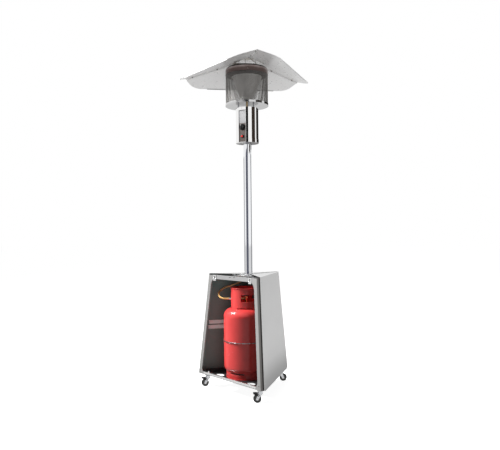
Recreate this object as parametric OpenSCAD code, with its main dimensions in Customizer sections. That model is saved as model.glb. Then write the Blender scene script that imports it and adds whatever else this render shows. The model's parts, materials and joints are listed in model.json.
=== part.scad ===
// Gas patio heater on a triangular cabinet, with a gas cylinder inside, a pole,
// a gas burner head and a three-panel reflector. Millimetres, +Z up.
// The origin is on the floor, on the pole's axis. The open front faces -Y.

/* [Cabinet] */
// Underside of the cabinet floor above the ground
cab_floor_z = 87; // [84:1:110]
// Height of the cabinet sheets
cab_h = 676; // [660:1:760]
// Pole axis to the sharp corner at the bottom
cab_r_bottom = 376; // [372:1:420]
// Pole axis to the sharp corner at the top
cab_r_top = 293; // [288:1:320]
// Length that each corner facet takes off a side
corner_cut = 22; // [20:1:28]
// Thickness of the cabinet sheets
sheet_t = 1.2; // [1:0.1:1.6]
// Thickness of the cabinet floor
floor_t = 3; // [2:0.5:5]
// Height of the flanges folded up from the cabinet floor
floor_flange_h = 22; // [15:1:30]
// Radius of the vent holes in the cabinet floor
vent_r = 36; // [20:1:40]
// Drop of the side panel's hem below the cabinet floor
hem_drop = 6; // [2:1:10]
// Setback of the hem from the panel's ends
hem_setback = 15; // [8:1:30]
// Radius of the flaps' notch round the pole
flap_notch_r = 31; // [29:1:40]

/* [Front frame] */
// Width of a front post's strip
post_w = 27; // [22:1:34]
// Width of a post's strip behind a side panel
post_side_w = 20; // [14:1:26]
// Top of the upper front rail below the top of the cabinet
rail_drop = 8; // [6:1:14]
// Height of the upper front rail
rail_h = 25; // [22:1:32]
// Depth of the rail's folded flange
rail_flange = 14; // [8:1:18]
// Overlap of a rail behind a post
rail_lap = 4; // [3:1:6]
// Radius below the posts' corner plates
post_fillet = 38; // [25:1:45]
// Half distance between the door hook plates
hook_x = 173; // [160:1:180]
// Width of a door hook plate
hook_w = 28; // [22:1:32]
// Height of a door hook plate
hook_h = 38; // [34:1:50]
// Width of the hook's slot
hook_slot_w = 4; // [3:0.5:6]
// Length of the hook's slot
hook_slot_h = 13; // [10:1:18]
// Height of the lower front rail above the cabinet's underside
low_rail_h = 17; // [16:1:30]
// Width of the small plate at a front post's foot
gusset_w = 22; // [12:1:30]
// Height of that plate
gusset_h = 46; // [30:1:55]
// Half distance between the door tabs
tab_x = 200; // [150:1:220]
// Width of a door tab
tab_w = 20; // [12:1:28]
// Height of a door tab
tab_h = 12; // [8:1:18]
// Radius of the door screw holes at the posts' feet
door_hole_r = 2.5; // [1.5:0.1:3.5]
// Distance between the two door screw holes
door_hole_gap = 12; // [10:1:14]
// Height of the door screw holes above the cabinet's underside
door_hole_up = 24; // [14:1:40]

/* [Wall bars] */
// Middle of the upper wall bar above the cabinet's underside
bar_up = 343; // [200:1:400]
// Distance between the two wall bars
bar_step = 34; // [28:1:50]
// Height of a wall bar
bar_h = 25; // [15:1:26]
// Depth of a wall bar
bar_t = 4; // [2:0.5:5]

/* [Pole and spider] */
// Outer radius of the pole
pole_r = 27; // [25:0.5:28]
// Wall of the pole
pole_wall = 1.5; // [1:0.1:2.5]
// Length of the pole above its flange
pole_len = 870; // [700:5:1000]
// Radius of the pole's flange
flange_r = 60; // [54:1:64]
// Thickness of each plate under the pole
plate_t = 3; // [2:0.5:4]
// Pole axis to the front edge of the mounting plate
plate_inr = 66; // [62:1:75]
// Pole axis to the mounting plate's cut corners
plate_corner_r = 113; // [108:1:120]
// Height of the mounting plate's front lip
plate_lip = 13; // [8:1:18]
// Width of a spider arm
arm_w = 36; // [28:1:44]
// Width of a spider arm's end tab
arm_tab_w = 13; // [9:0.5:13]
// Height of a spider arm's end tab
arm_tab_h = 24; // [15:1:30]
// Radius of the bolts' circle on the flange
flange_bolt_ring = 48; // [44:1:50]
// Radius of the bolts' circle at the plate's corners
corner_bolt_ring = 100; // [92:1:102]
// Radius of a bolt's shank
bolt_r = 3; // [2:0.5:4]
// Radius of a bolt's hexagonal head
bolt_head_r = 6; // [5:0.5:7]
// Height of a bolt's head
bolt_head_h = 4; // [2:0.5:5]

/* [Burner head] */
// Turn of the control window from the cabinet's front
head_turn = 20; // [0:1:45]
// Outer radius of the control housing
house_r = 75.5; // [72:0.5:85]
// Height of the control housing
house_h = 231; // [220:1:260]
// Thickness of the head's sheets
head_t = 1.2; // [0.8:0.1:2]
// Half angle of the control window
window_half = 20.6; // [18:0.2:24]
// Height of the control window
window_h = 209; // [200:1:215]
// Pole axis to the control panel's face
panel_out = 66; // [64:0.5:68]
// Thickness of the control panel
panel_t = 1.5; // [1:0.1:2.5]
// Height of the access cover at the housing's foot
cover_h = 26; // [20:1:32]
// First angle of the access cover
cover_from = -33; // [-45:1:-28]
// Last angle of the access cover
cover_to = 80; // [60:1:120]
// Height of the gap under the burner tray
tray_gap = 17; // [12:1:30]
// Radius of the standoffs' circle
standoff_ring = 60; // [50:1:65]
// Radius of a standoff
standoff_r = 5; // [4:0.5:8]
// Radius of the burner tray
tray_r = 143; // [142:1:160]
// Height of the burner tray's rim
tray_rim = 12; // [8:1:18]
// Outer radius of the emitter screen
screen_r = 140; // [120:1:140.5]
// Height of the emitter screen
screen_h = 226; // [200:1:260]
// Thickness of the emitter screen
screen_t = 1; // [0.8:0.1:2]
// Radius of the burner cup
cup_r = 45; // [35:1:55]
// Height of the burner cup
cup_h = 52; // [40:1:60]
// Radius at the top of the flame cone
cone_r = 100; // [80:1:115]
// Height of the flame cone
cone_h = 140; // [100:1:150]
// Height of the emitter's cap
cap_h = 44; // [40:1:48]
// Radius of the cap's shoulder
cap_round = 16; // [8:1:18]

/* [Controls] */
// Height of the knob's axis above the housing's foot
knob_up = 100; // [80:1:120]
// Radius of the knob's skirt
knob_r = 20; // [16:0.5:22]
// Height of the knob
knob_h = 20; // [15:1:24]
// Travel of the knob when pushed
knob_travel = 3; // [2:0.5:4]
// Radius of the valve's stem
stem_r = 4; // [3:0.5:5]
// Radius of the gas pipes
pipe_r = 6; // [4:0.5:7]
// Width and height of the valve's block
valve_w = 34; // [26:1:40]
// Height of the igniter's axis above the housing's foot
igniter_up = 39; // [34:1:50]
// Radius of the igniter's bezel
bezel_r = 12; // [10:0.5:14]
// Radius of the igniter's button
button_r = 7; // [5:0.5:8]
// Travel of the igniter's button
button_travel = 6; // [3:0.5:8]

/* [Reflector] */
// Height of the reflector planes' apex above the emitter's cap
apex_up = 64; // [60:1:90]
// Slope of the panels from the horizontal
refl_slope = 19.3; // [17:0.1:21]
// Pole axis to the long outer edges
refl_edge = 339; // [300:1:360]
// Pole axis to the short corner edges
refl_corner = 462; // [440:1:500]
// Radius of the outline's round corners
refl_round = 95; // [50:1:100]
// Pole axis to the edge of the centre opening
refl_inner = 55; // [50:1:57]
// Turn of the reflector from the cabinet
refl_turn = -4.7; // [-20:0.1:20]
// Thickness of a reflector panel
refl_t = 1; // [0.8:0.1:1.6]
// Depth of the flanges along the seams
refl_flange = 12; // [11:1:18]
// Depth of the lip along the outer edges
refl_lip = 5; // [3:1:8]
// Pole axis to the flat top of the hub
hub_flat = 42; // [36:1:46]
// Pole axis to the hub's outer edge
hub_edge = 78; // [74:1:90]
// Radius of the studs' circle
stud_ring = 63; // [60:0.5:65]
// Radius of a stud
stud_r = 3; // [2:0.5:4]
// First seam bolt from the pole axis
seam_bolt_a = 215; // [180:1:250]
// Second seam bolt from the pole axis
seam_bolt_b = 405; // [350:1:420]
// Radius of a small screw's head
screw_r = 4; // [3:0.5:5]
// Height of a small screw's head
screw_h = 2; // [1:0.5:3]

/* [Gas cylinder] */
// Cylinder axis from the pole axis, sideways
cyl_x = -17.3; // [-18:0.1:0]
// Cylinder axis from the pole axis, to the back
cyl_y = -10; // [-12:0.5:0]
// Radius of the gas cylinder
cyl_r = 148; // [130:1:148]
// Height of the cylinder's body
cyl_h = 415; // [360:1:440]
// Wall of the gas cylinder
cyl_wall = 3; // [2:0.5:4]
// Radius at the cylinder's bottom edge
cyl_round_low = 40; // [30:1:50]
// Radius at the cylinder's shoulder
cyl_round_top = 55; // [45:1:60]
// Radius of the foot ring
foot_r = 133; // [110:1:136]
// Height of the body above the cabinet floor
foot_h = 35; // [30:1:50]
// Radius of the collar
collar_r = 98; // [93:1:105]
// Height of the collar above the shoulder
collar_h = 136; // [120:1:140]
// Wall of the collar and the foot ring
ring_wall = 2.5; // [2:0.5:4]
// Bottom of the collar's hand holes above the shoulder
hand_up = 46; // [40:1:55]
// Height of the collar's hand holes
hand_h = 48; // [35:1:52]
// Angle of a hand hole
hand_angle = 55; // [40:1:70]
// Direction of the first hand hole
hand_from = -34.7; // [-45:0.1:-25]
// Height of the valve's outlet above the shoulder
outlet_up = 58; // [54:1:62]
// Direction of the valve's outlet
outlet_dir = -139.5; // [-145:0.5:-135]
// Radius of the valve's handwheel
handwheel_r = 27; // [20:1:34]
// Radius of the regulator
regulator_r = 26; // [20:1:28]
// Height of the chain above the cylinder's bottom
chain_up = 205; // [100:1:300]
// Thickness of the chain
chain_d = 5; // [3:0.5:8]

/* [Hose] */
// Diameter of the gas hose
hose_d = 11.5; // [8:0.5:12]

/* [Casters] */
// Pole axis to a caster's swivel axis
caster_ring = 296; // [280:1:300]
// Radius of a wheel
wheel_r = 25; // [20:1:25.5]
// Width of a wheel
wheel_w = 20; // [16:1:26]
// Swivel axis to the axle
trail = 18; // [14:1:24]
// Radius of an axle
axle_r = 4; // [3:0.5:5]
// Thickness of a fork's sheet
fork_t = 2.5; // [2:0.5:4]
// Width of a caster's top plate
caster_plate_w = 46; // [40:1:48]
// Radius of the king pin
king_r = 5; // [4:0.5:6]
// Rest direction of the left caster's trail
trail_left = 240; // [0:1:360]
// Rest direction of the right caster's trail
trail_right = 227; // [0:1:360]
// Rest direction of the back caster's trail
trail_back = 40; // [0:1:360]

/* [Hidden] */
$fn = 64;

// Clearances
fit_gap = 0.2;
move_gap = 0.3;
run_gap = 0.08;
hole_gap = 0.2;
merge = 0.5;

// Cabinet corners and faces, as directions seen from above
corner_left = -150;
corner_right = -30;
corner_back = 90;
CORNERS = [corner_left, corner_right, corner_back];
face_front = -90;
face_right = 30;
face_left = 150;

// Cabinet planes
inr_bottom = cab_r_bottom / 2;
inr_top = cab_r_top / 2;
cab_top_z = cab_floor_z + cab_h;
face_tilt = atan((inr_bottom - inr_top) / cab_h);
corner_tilt = atan((cab_r_bottom - cab_r_top) / cab_h);
face_len = cab_h / cos(face_tilt);
facet_len = cab_h / cos(corner_tilt);
cut_depth = corner_cut * cos(30);
layer = sheet_t + fit_gap;
edge_gap = sheet_t / cos(30) + fit_gap;
wall_stack = 2 * layer + fit_gap;
function inr_at(z) = inr_bottom - (z - cab_floor_z) * tan(face_tilt);
function corner_at(z) = cab_r_bottom - (z - cab_floor_z) * tan(corner_tilt);
function up_face(z) = (z - cab_floor_z) / cos(face_tilt);
function half_at(y) = (inr_bottom - y * sin(face_tilt)) * tan(60);
function polar(r, a) = [r * cos(a), r * sin(a)];

// Points of a triangle with cut corners, by its inner radius and its corners' radius
function tri_points(inr, corner) = [
  for (c = CORNERS) for (s = [-1, 1])
    polar(corner, c) + s * (2 * inr - corner) * tan(30) * [-sin(c), cos(c)]
];

floor_top_z = cab_floor_z + floor_t;
floor_inset = wall_stack;
rail_top_z = cab_top_z - rail_drop;
rail_low_z = rail_top_z - rail_h;
rail_slot_x = 20;
rail_slot_w = 20;
rail_slot_h = 3;
screw_in = 18;
screw_heights = [2 * screw_in, face_len - 2 * screw_in];
floor_corner = corner_at(floor_top_z) - cut_depth - layer - fit_gap;
VENTS = [[-151, -137], [151, -137], [0, 205]];

// Pole stack, from the spider up
spider_z = rail_top_z - sheet_t - move_gap - plate_t;
mount_z = spider_z + plate_t;
flange_z = mount_z + plate_t;
pole_z = flange_z + plate_t;
pole_top_z = pole_z + pole_len;
pole_bore = pole_r - pole_wall;
plate_bore = pole_bore - 1.5;
arm_end_r = corner_at(mount_z) - cut_depth - layer / cos(corner_tilt);
arm_taper_r = 2 * (inr_at(mount_z) - wall_stack - 0.5 - arm_w / 2 * cos(30));
arm_tab_top = (mount_z - cab_floor_z) / cos(corner_tilt);
lip_half = 2 * cos(30) * (plate_inr - arm_w / 2 * cos(30)) - arm_w / 4 - 3;
lip_z = mount_z + plate_t - plate_lip;
bolt_hole_r = bolt_r + hole_gap;

// Burner head, from the pole up
house_z = pole_top_z;
house_in = house_r - head_t;
house_top_z = house_z + house_h;
house_floor_t = 2;
house_hole_r = 18;
house_bolt_ring = 46;
window_z = house_z + house_floor_t;
panel_half = sqrt(house_in * house_in - panel_out * panel_out) - move_gap;
tray_z = house_top_z + tray_gap;
tray_t = 1.5;
tray_top_z = tray_z + tray_t;
screen_top_z = tray_top_z + screen_h;
cap_lap = 24;
cap_skirt_z = screen_top_z - cap_lap;
cap_top_z = cap_skirt_z + cap_h + 2;
cap_in = screen_r + move_gap;
cap_out = cap_in + head_t;
apex_z = cap_top_z + apex_up;
valve_z = house_z + knob_up;
igniter_z = house_z + igniter_up;
valve_back_y = -26;
valve_front_y = -(panel_out - panel_t - 6.5);
boss_half = 23;
boss_r = pipe_r + 3;
riser_up = 27;
riser_z = cab_top_z + riser_up;
stem_in = 50;
knob_z = panel_out + knob_travel + 2 * move_gap;
stem_end = panel_out + knob_travel + knob_h - 4;
igniter_len = 40;
bezel_h = 3;
neck_in = bezel_r - 2;
ferrule_r = pipe_r + 2;
ferrule_h = 25;
pipe_wall = 1.5;
cup_z = tray_top_z;
cup_t = 1.2;
vent_slots = 12;
vent_slot_w = 4;
pilot_gap = 26;
pilot_out = cup_r + pilot_gap;
pilot_w = 18;
pilot_d = 14;
pilot_h = 24;
flame_h = 9;
spark_r = 1.5;
tilt_w = 24;
tilt_d = 18;
tilt_h = 28;

// Reflector lengths along the slope
slope_k = 1 / cos(refl_slope);
seam_drop = tan(refl_slope) * cos(60);
seam_half_gap = 0.15;
sheet_half_gap = refl_t * sin(refl_slope) * sin(60) + 0.1;
seam_bolt_r = 2;
seam_nut_h = 3;
REFL_FACES = [refl_turn - 90, refl_turn + 30, refl_turn + 150];
REFL_SEAMS = [refl_turn - 30, refl_turn + 90, refl_turn + 210];
outer_half = (refl_corner - refl_edge * cos(60)) / cos(30);
cup_screws = 6;
stud_foot_r = 8;
stud_foot_h = 3;
nut_r = 7;
nut_h = 6;
wing_r = 6;
function under_refl(u) = apex_z - u * tan(refl_slope);
nut_z = under_refl(stud_ring - nut_r) + (refl_t + fit_gap) * slope_k + 0.1;

// Gas cylinder heights
cyl_z = floor_top_z + foot_h;
cyl_clear = 2;
drain_from = -72.5;
drain_angle = 47;
drain_h = 7;
foot_hole_r = 5;
foot_hole_up = 15;
foot_hole_step = 40;
cyl_top_z = cyl_z + cyl_h;
neck_r = 20;
neck_h = 12;
neck_bore = 12;
collar_top_z = cyl_top_z + collar_h;
rim_r = 4;
collar_gap_h = 6;
valve_body_r = 11;
outlet_z = cyl_top_z + outlet_up;
outlet_r = 8;
outlet_len = 30;
nut_len = 12;
reg_at = 64;
reg_h = 26;
bonnet_r = 16;
bonnet_h = 9;
hose_ferrule = 24;
ferrule_end = 114;
handwheel_z = outlet_z + 20;
neck_nut_h = 8;
handwheel_h = 18;
spindle_r = 4;

// Points that the gas hose follows from the regulator into the pole
HOSE = [
  [-103, -84, 598], [-118, -96, 598], [-131, -107, 599], [-146, -113, 602],
  [-161, -115, 608], [-175, -112, 617], [-186, -104, 626], [-193, -93, 636],
  [-195, -80, 646], [-191, -67, 656], [-183, -55, 663], [-170, -46, 669],
  [-154, -40, 674], [-138, -33, 680], [-123, -27, 687], [-107, -20, 692],
  [-92, -13, 699], [-77, -7, 706], [-61, -5, 714], [-45, -5, 722],
  [-30, -6, 731], [-16, -6, 741], [-5, -4, 755], [0, 0, 772], [0, 0, 790]
];
hose_sides = 10;

// Casters
caster_plate_t = 2.5;
race_h = 6;
race_r = 17;
leg_gap = 1;
leg_y = wheel_w / 2 + leg_gap;
crown_z = 2 * wheel_r + 4;
crown_top = crown_z + fork_t;
fork_race_top = cab_floor_z - caster_plate_t - race_h - move_gap;
axle_pad_r = axle_r + 4;
axle_head_r = axle_r + 2.5;
axle_head_h = 3;
shoulder = 5;
web = 3;
hub_r = 11;
pivot_x = 10;
pivot_z = crown_z - 7;
pivot_r = 3;
pivot_len = 3;
lever_t = 2;
lever_reach = trail + wheel_r - 1;

// Local frame on a cabinet face: x along it, y up it, z out of it
module face_frame(phi) {
  rotate([0, 0, phi + 90])
    translate([0, -inr_bottom, cab_floor_z])
      rotate([90 - face_tilt, 0, 0])
        children();
}

// The same on a corner facet
module facet_frame(phi) {
  rotate([0, 0, phi + 90])
    translate([0, -(cab_r_bottom - cut_depth), cab_floor_z])
      rotate([90 - corner_tilt, 0, 0])
        children();
}

// A sheet on a face, with its outer side at the given depth
module face_sheet(phi, depth, t = sheet_t) {
  face_frame(phi)
    translate([0, 0, -depth - t])
      linear_extrude(t)
        children();
}

// A strip along a face's end: side 1 is its +x end, -1 its -x end
module end_strip(side, w, y0, y1, out = 0) {
  a0 = half_at(y0) - corner_cut;
  a1 = half_at(y1) - corner_cut;
  polygon([
    [side * (a0 + out), y0], [side * (a1 + out), y1],
    [side * (a1 - w), y1], [side * (a0 - w), y0]
  ]);
}

// A band across a face, as far as the posts' inner edges plus a lap
module face_band(y0, y1, lap) {
  a0 = half_at(y0) - corner_cut - post_w + lap;
  a1 = half_at(y1) - corner_cut - post_w + lap;
  polygon([[-a0, y0], [a0, y0], [a1, y1], [-a1, y1]]);
}

module slot_2d(w, h) {
  translate([-w / 2, -h / 2 + w / 2])
    square([w, h - w]);
  for (s = [-1, 1])
    translate([0, s * (h - w) / 2])
      circle(d = w);
}

module ring(r, wall, h) {
  difference() {
    cylinder(r = r, h = h);
    translate([0, 0, -1])
      cylinder(r = r - wall, h = h + 2);
  }
}

module pipe(r, h) {
  ring(r, pipe_wall, h);
}

// Cabinet floor with vent holes and two folded flanges
module base_plate() {
  color("#1c1c1d") {
    difference() {
      translate([0, 0, cab_floor_z])
        linear_extrude(floor_t)
          polygon(tri_points(inr_at(floor_top_z) - floor_inset, floor_corner));
      for (v = VENTS)
        translate([v[0], v[1], cab_floor_z - 1])
          cylinder(r = vent_r, h = floor_t + 2);
    }
    for (phi = [face_left, face_right])
      face_sheet(phi, floor_inset)
        floor_flange_2d();
  }
}

module floor_flange_2d() {
  a = half_at(0) - corner_cut - post_side_w - floor_flange_h;
  y0 = floor_t / 2;
  polygon([[-a, y0], [a, y0], [a, floor_flange_h], [-a, floor_flange_h]]);
}

// Bottom rail of the open front, with the door's tabs
module lower_front_rail() {
  y1 = low_rail_h;
  color("#e6e6e6") {
    face_sheet(face_front, layer)
      union() {
        face_band(floor_t, y1, rail_lap);
        for (s = [-1, 1])
          translate([s * tab_x, y1 - 1])
            polygon([
              [-tab_w / 2, 0], [tab_w / 2, 0],
              [tab_w / 4, tab_h + 1], [-tab_w / 4, tab_h + 1]
            ]);
      }
    rail_top_flange(cab_floor_z + low_rail_h, -rail_lap);
  }
}

// Flange folded in from a front rail's top edge
module rail_top_flange(z, short) {
  a = half_at(up_face(z)) - corner_cut - post_w + short;
  y = -(inr_at(z) - layer / cos(face_tilt));
  translate([-a, y, z - sheet_t])
    cube([2 * a, rail_flange, sheet_t]);
}

// Top rail of the open front
module upper_front_rail() {
  color("#cfd0d0") {
    face_sheet(face_front, layer)
      difference() {
        face_band(up_face(rail_low_z), up_face(rail_top_z), rail_lap);
        hook_slots_2d();
        for (s = [-1, 1])
          translate([s * rail_slot_x, up_face(rail_top_z) - rail_h / 4])
            square([rail_slot_w, rail_slot_h], center = true);
      }
    rail_top_flange(rail_top_z, -2 * rail_lap);
  }
}

module hook_slots_2d() {
  for (s = [-1, 1])
    translate([s * hook_x, up_face(rail_top_z) - rail_h / 2])
      slot_2d(hook_slot_w, hook_slot_h);
}

// One side wall with its hem and the flap folded over the top
module side_panel(phi) {
  cut = corner_cut + edge_gap;
  a0 = half_at(0) - cut;
  a1 = half_at(face_len) - cut;
  h = a0 - hem_setback;
  face_sheet(phi, 0)
    polygon([
      [-a0, 0], [-h, 0], [-h, -hem_drop], [h, -hem_drop], [h, 0], [a0, 0],
      [a1, face_len], [-a1, face_len]
    ]);
  side = inr_top * tan(60) - cut;
  rotate([0, 0, phi + 90])
    translate([0, 0, cab_top_z - sheet_t])
      linear_extrude(sheet_t)
        difference() {
          polygon([[-side, -inr_top], [side, -inr_top], [0, -cut / tan(60)]]);
          circle(flap_notch_r);
        }
}

module left_panel() {
  color("#b7b7b5")
    side_panel(face_left);
}

module right_panel() {
  color("#c4c4c2")
    side_panel(face_right);
}

// The facet of a corner post
module post_facet(corner) {
  facet_frame(corner)
    translate([0, 0, -sheet_t])
      linear_extrude(sheet_t)
        translate([-corner_cut / 2, 0])
          square([corner_cut, facet_len]);
}

// The strip of a post that lies behind a side panel
module post_inner(phi, side) {
  face_sheet(phi, layer)
    end_strip(side, post_side_w, 0, up_face(rail_low_z), merge * tan(30));
}

// The strip of a post in the open front, with its corner plate
module post_front_2d(side) {
  y_low = up_face(rail_low_z);
  y_top = up_face(rail_top_z);
  x_post = half_at(y_low) - corner_cut - post_w;
  difference() {
    union() {
      end_strip(side, post_w, 0, y_top);
      mirror([side < 0 ? 1 : 0, 0]) {
        translate([hook_x - hook_w / 2, y_low])
          square([x_post - hook_x + hook_w / 2 + 1, y_top - y_low]);
        translate([x_post - post_fillet, y_low - post_fillet])
          difference() {
            square([post_fillet + 1, post_fillet + 1]);
            circle(post_fillet);
          }
        translate([half_at(0) - corner_cut - post_w - gusset_w, 0])
          polygon([
            [0, 0], [gusset_w + 6, 0], [gusset_w + 6, gusset_h],
            [gusset_w, gusset_h], [0, gusset_h / 6]
          ]);
      }
    }
    hook_slots_2d();
    door_holes_2d(side);
  }
}

module door_holes_2d(side) {
  x = half_at(door_hole_up) - corner_cut - post_w + rail_lap + door_hole_r + 1;
  for (k = [0, 1])
    translate([side * (x + k * door_hole_gap), door_hole_up])
      circle(door_hole_r);
}

module front_post_left() {
  color("#8d8d8b") {
    post_facet(corner_left);
    face_sheet(face_front, 0)
      post_front_2d(-1);
    post_inner(face_left, 1);
  }
}

module front_post_right() {
  color("#8d8d8b") {
    post_facet(corner_right);
    face_sheet(face_front, 0)
      post_front_2d(1);
    post_inner(face_right, -1);
  }
}

module back_post() {
  color("#8d8d8b") {
    post_facet(corner_back);
    post_inner(face_right, 1);
    post_inner(face_left, -1);
  }
}

// Two plates with slots that the missing front cover hangs on
module door_hooks() {
  color("#eeeeee")
    face_sheet(face_front, -sheet_t - fit_gap)
      difference() {
        for (s = [-1, 1])
          translate([s * hook_x, up_face(rail_top_z) - hook_h + 1])
            hook_2d();
        hook_slots_2d();
      }
}

module hook_2d() {
  r = hook_w / 5;
  translate([-hook_w / 2, r])
    square([hook_w, hook_h - r]);
  translate([r - hook_w / 2, 0])
    square([hook_w - 2 * r, r + 1]);
  for (s = [-1, 1])
    translate([s * (hook_w / 2 - r), r])
      circle(r);
}

// Two bars on the inside of the left wall, kept clear of the cylinder
module wall_bars() {
  color("#b9bbbd")
    difference() {
      for (y = [bar_up, bar_up - bar_step])
        face_sheet(face_left, layer, bar_t)
          bar_2d(y);
      translate([cyl_x, cyl_y, cyl_z])
        cylinder(r = cyl_r + cyl_clear, h = cyl_h);
    }
}

module bar_2d(y) {
  a = half_at(y + bar_h) - corner_cut - post_side_w - 2;
  translate([-a, y - bar_h / 2])
    square([2 * a, bar_h]);
}

// A round screw head standing on the plane z = 0
module screw_head() {
  intersection() {
    translate([0, 0, screw_h - screw_r * 1.5])
      sphere(screw_r * 1.5);
    cylinder(r = screw_r, h = screw_h);
  }
}

module cabinet_screws() {
  color("#8f8f8f") {
    for (phi = [face_left, face_right], s = [-1, 1], y = screw_heights)
      face_frame(phi)
        translate([s * (half_at(y) - corner_cut - screw_in), y, 0])
          screw_head();
    for (s = [-1, 1], k = [-1, 1])
      face_frame(face_front)
        translate([s * hook_x + k * hook_w / 4, up_face(rail_low_z), layer])
          screw_head();
  }
}

// Black spider that carries the pole between the three corner posts
module top_spider() {
  color("#161616")
    difference() {
      union() {
        translate([0, 0, spider_z])
          linear_extrude(plate_t) {
            for (c = CORNERS)
              rotate(c)
                polygon([
                  [0, -arm_w / 2], [arm_taper_r, -arm_w / 2], [arm_end_r, -arm_tab_w / 2],
                  [arm_end_r, arm_tab_w / 2], [arm_taper_r, arm_w / 2], [0, arm_w / 2]
                ]);
            circle(plate_inr - 6);
          }
        for (c = CORNERS)
          facet_frame(c)
            translate([-arm_tab_w / 2, arm_tab_top - arm_tab_h, -layer - plate_t])
              cube([arm_tab_w, arm_tab_h - 0.5, plate_t]);
      }
      translate([0, 0, spider_z - 1])
        cylinder(r = plate_bore, h = plate_t + 2);
      bolt_holes(flange_bolt_ring);
      bolt_holes(corner_bolt_ring);
    }
}

module bolt_holes(ring_r) {
  for (c = CORNERS)
    rotate(c)
      translate([ring_r, 0, spider_z - 1])
        cylinder(r = bolt_hole_r, h = 3 * plate_t + 2);
}

// Bright triangular plate between the spider and the pole's flange
module pole_mount_plate() {
  color("#e9e9e9")
    difference() {
      union() {
        translate([0, 0, mount_z])
          linear_extrude(plate_t)
            polygon(tri_points(plate_inr, plate_corner_r));
        translate([-lip_half, -plate_inr, lip_z])
          cube([2 * lip_half, sheet_t, plate_lip]);
      }
      translate([0, 0, mount_z - 1])
        cylinder(r = plate_bore, h = plate_t + 2);
      bolt_holes(flange_bolt_ring);
      bolt_holes(corner_bolt_ring);
    }
}

module pole_flange() {
  color("#d8d8d8")
    difference() {
      translate([0, 0, flange_z])
        cylinder(r = flange_r, h = plate_t);
      translate([0, 0, flange_z - 1])
        cylinder(r = plate_bore, h = plate_t + 2);
      bolt_holes(flange_bolt_ring);
    }
}

// A hexagon bolt with its head's underside at z = 0 and a nut below the grip
module hex_bolt(grip) {
  cylinder(r = bolt_head_r, h = bolt_head_h, $fn = 6);
  translate([0, 0, -grip - bolt_head_h])
    cylinder(r = bolt_r, h = grip + bolt_head_h + merge);
  translate([0, 0, -grip - bolt_head_h])
    cylinder(r = bolt_head_r, h = bolt_head_h, $fn = 6);
}

module pole_bolts() {
  color("#77797c") {
    for (c = CORNERS)
      rotate(c) {
        translate([flange_bolt_ring, 0, pole_z])
          hex_bolt(3 * plate_t);
        translate([corner_bolt_ring, 0, flange_z])
          hex_bolt(2 * plate_t);
        translate([house_bolt_ring, 0, house_z])
          mirror([0, 0, 1])
            cylinder(r = bolt_head_r, h = bolt_head_h, $fn = 6);
      }
  }
}

module pole() {
  color("#dfe1e3")
    translate([0, 0, pole_z])
      ring(pole_r, pole_wall, pole_len);
}

// Gas pipe inside the pole, with the hose's ferrule at its foot
module riser_pipe() {
  color("#c9a24a")
    translate([0, 0, riser_z]) {
      pipe(pipe_r, valve_z - boss_half - riser_z);
      ring(ferrule_r, ferrule_r - pipe_r + pipe_wall, ferrule_h);
    }
}

module housing_bottom_plate() {
  color("#a9a9a8")
    translate([0, 0, house_z])
      ring(house_in - fit_gap, house_in - fit_gap - house_hole_r, house_floor_t);
}

// Sheet drum of the controls, with a tall window and a top plate
module control_housing() {
  color("#c3c4c4")
    difference() {
      translate([0, 0, house_z])
        cylinder(r = house_r, h = house_h);
      translate([0, 0, house_z - 1])
        cylinder(r = house_in, h = house_h - head_t + 1);
      translate([0, 0, house_top_z - head_t - 1])
        cylinder(r = pipe_r + 2, h = head_t + 2);
      translate([0, 0, window_z])
        linear_extrude(window_h)
          polygon([
            [0, 0],
            polar(2 * house_r, head_turn - 90 - window_half),
            polar(2 * house_r, head_turn - 90 + window_half)
          ]);
    }
}

// Curved cover at the housing's foot
module access_cover() {
  color("#d2d3d3")
    rotate([0, 0, cover_from])
      translate([0, 0, house_z])
        rotate_extrude(angle = cover_to - cover_from)
          translate([house_r + fit_gap, 0])
            square([head_t, cover_h]);
}

module head_frame() {
  rotate([0, 0, head_turn])
    children();
}

// Along the knob's or the button's axis: z runs out of the control panel
module control_axis(z) {
  head_frame()
    translate([0, 0, z])
      rotate([90, 0, 0])
        children();
}

// Flat panel behind the window, with holes for the stem and the igniter
module control_panel() {
  color("#4a4440")
    difference() {
      head_frame()
        translate([-panel_half, -panel_out, window_z + fit_gap])
          cube([2 * panel_half, panel_t, window_h]);
      control_axis(valve_z)
        translate([0, 0, panel_out - panel_t - 1])
          cylinder(r = stem_r + 1, h = panel_t + 2);
      control_axis(igniter_z)
        translate([0, 0, panel_out - panel_t - 1])
          cylinder(r = neck_in + fit_gap, h = panel_t + 2);
    }
}

// Gas valve with an inlet and an outlet on the pole's axis
module gas_valve() {
  color("#b08d3e")
    difference() {
      union() {
        head_frame() {
          translate([-valve_w / 2, valve_front_y, valve_z - valve_w / 2])
            cube([valve_w, valve_back_y - valve_front_y, valve_w]);
          translate([-boss_r, valve_back_y - merge, valve_z - boss_r])
            cube([2 * boss_r, -valve_back_y + merge, 2 * boss_r]);
        }
        translate([0, 0, valve_z - boss_half])
          cylinder(r = boss_r, h = 2 * boss_half);
        control_axis(valve_z)
          translate([0, 0, -valve_front_y - merge])
            cylinder(r = stem_r + 5, h = panel_out - panel_t + valve_front_y + merge);
      }
      control_axis(valve_z)
        translate([0, 0, -valve_back_y + 6])
          cylinder(r = stem_r + run_gap, h = panel_out);
    }
}

module valve_stem() {
  color("#c7c8c9")
    control_axis(valve_z)
      translate([0, 0, stem_in])
        cylinder(r = stem_r, h = stem_end - stem_in);
}

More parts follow.
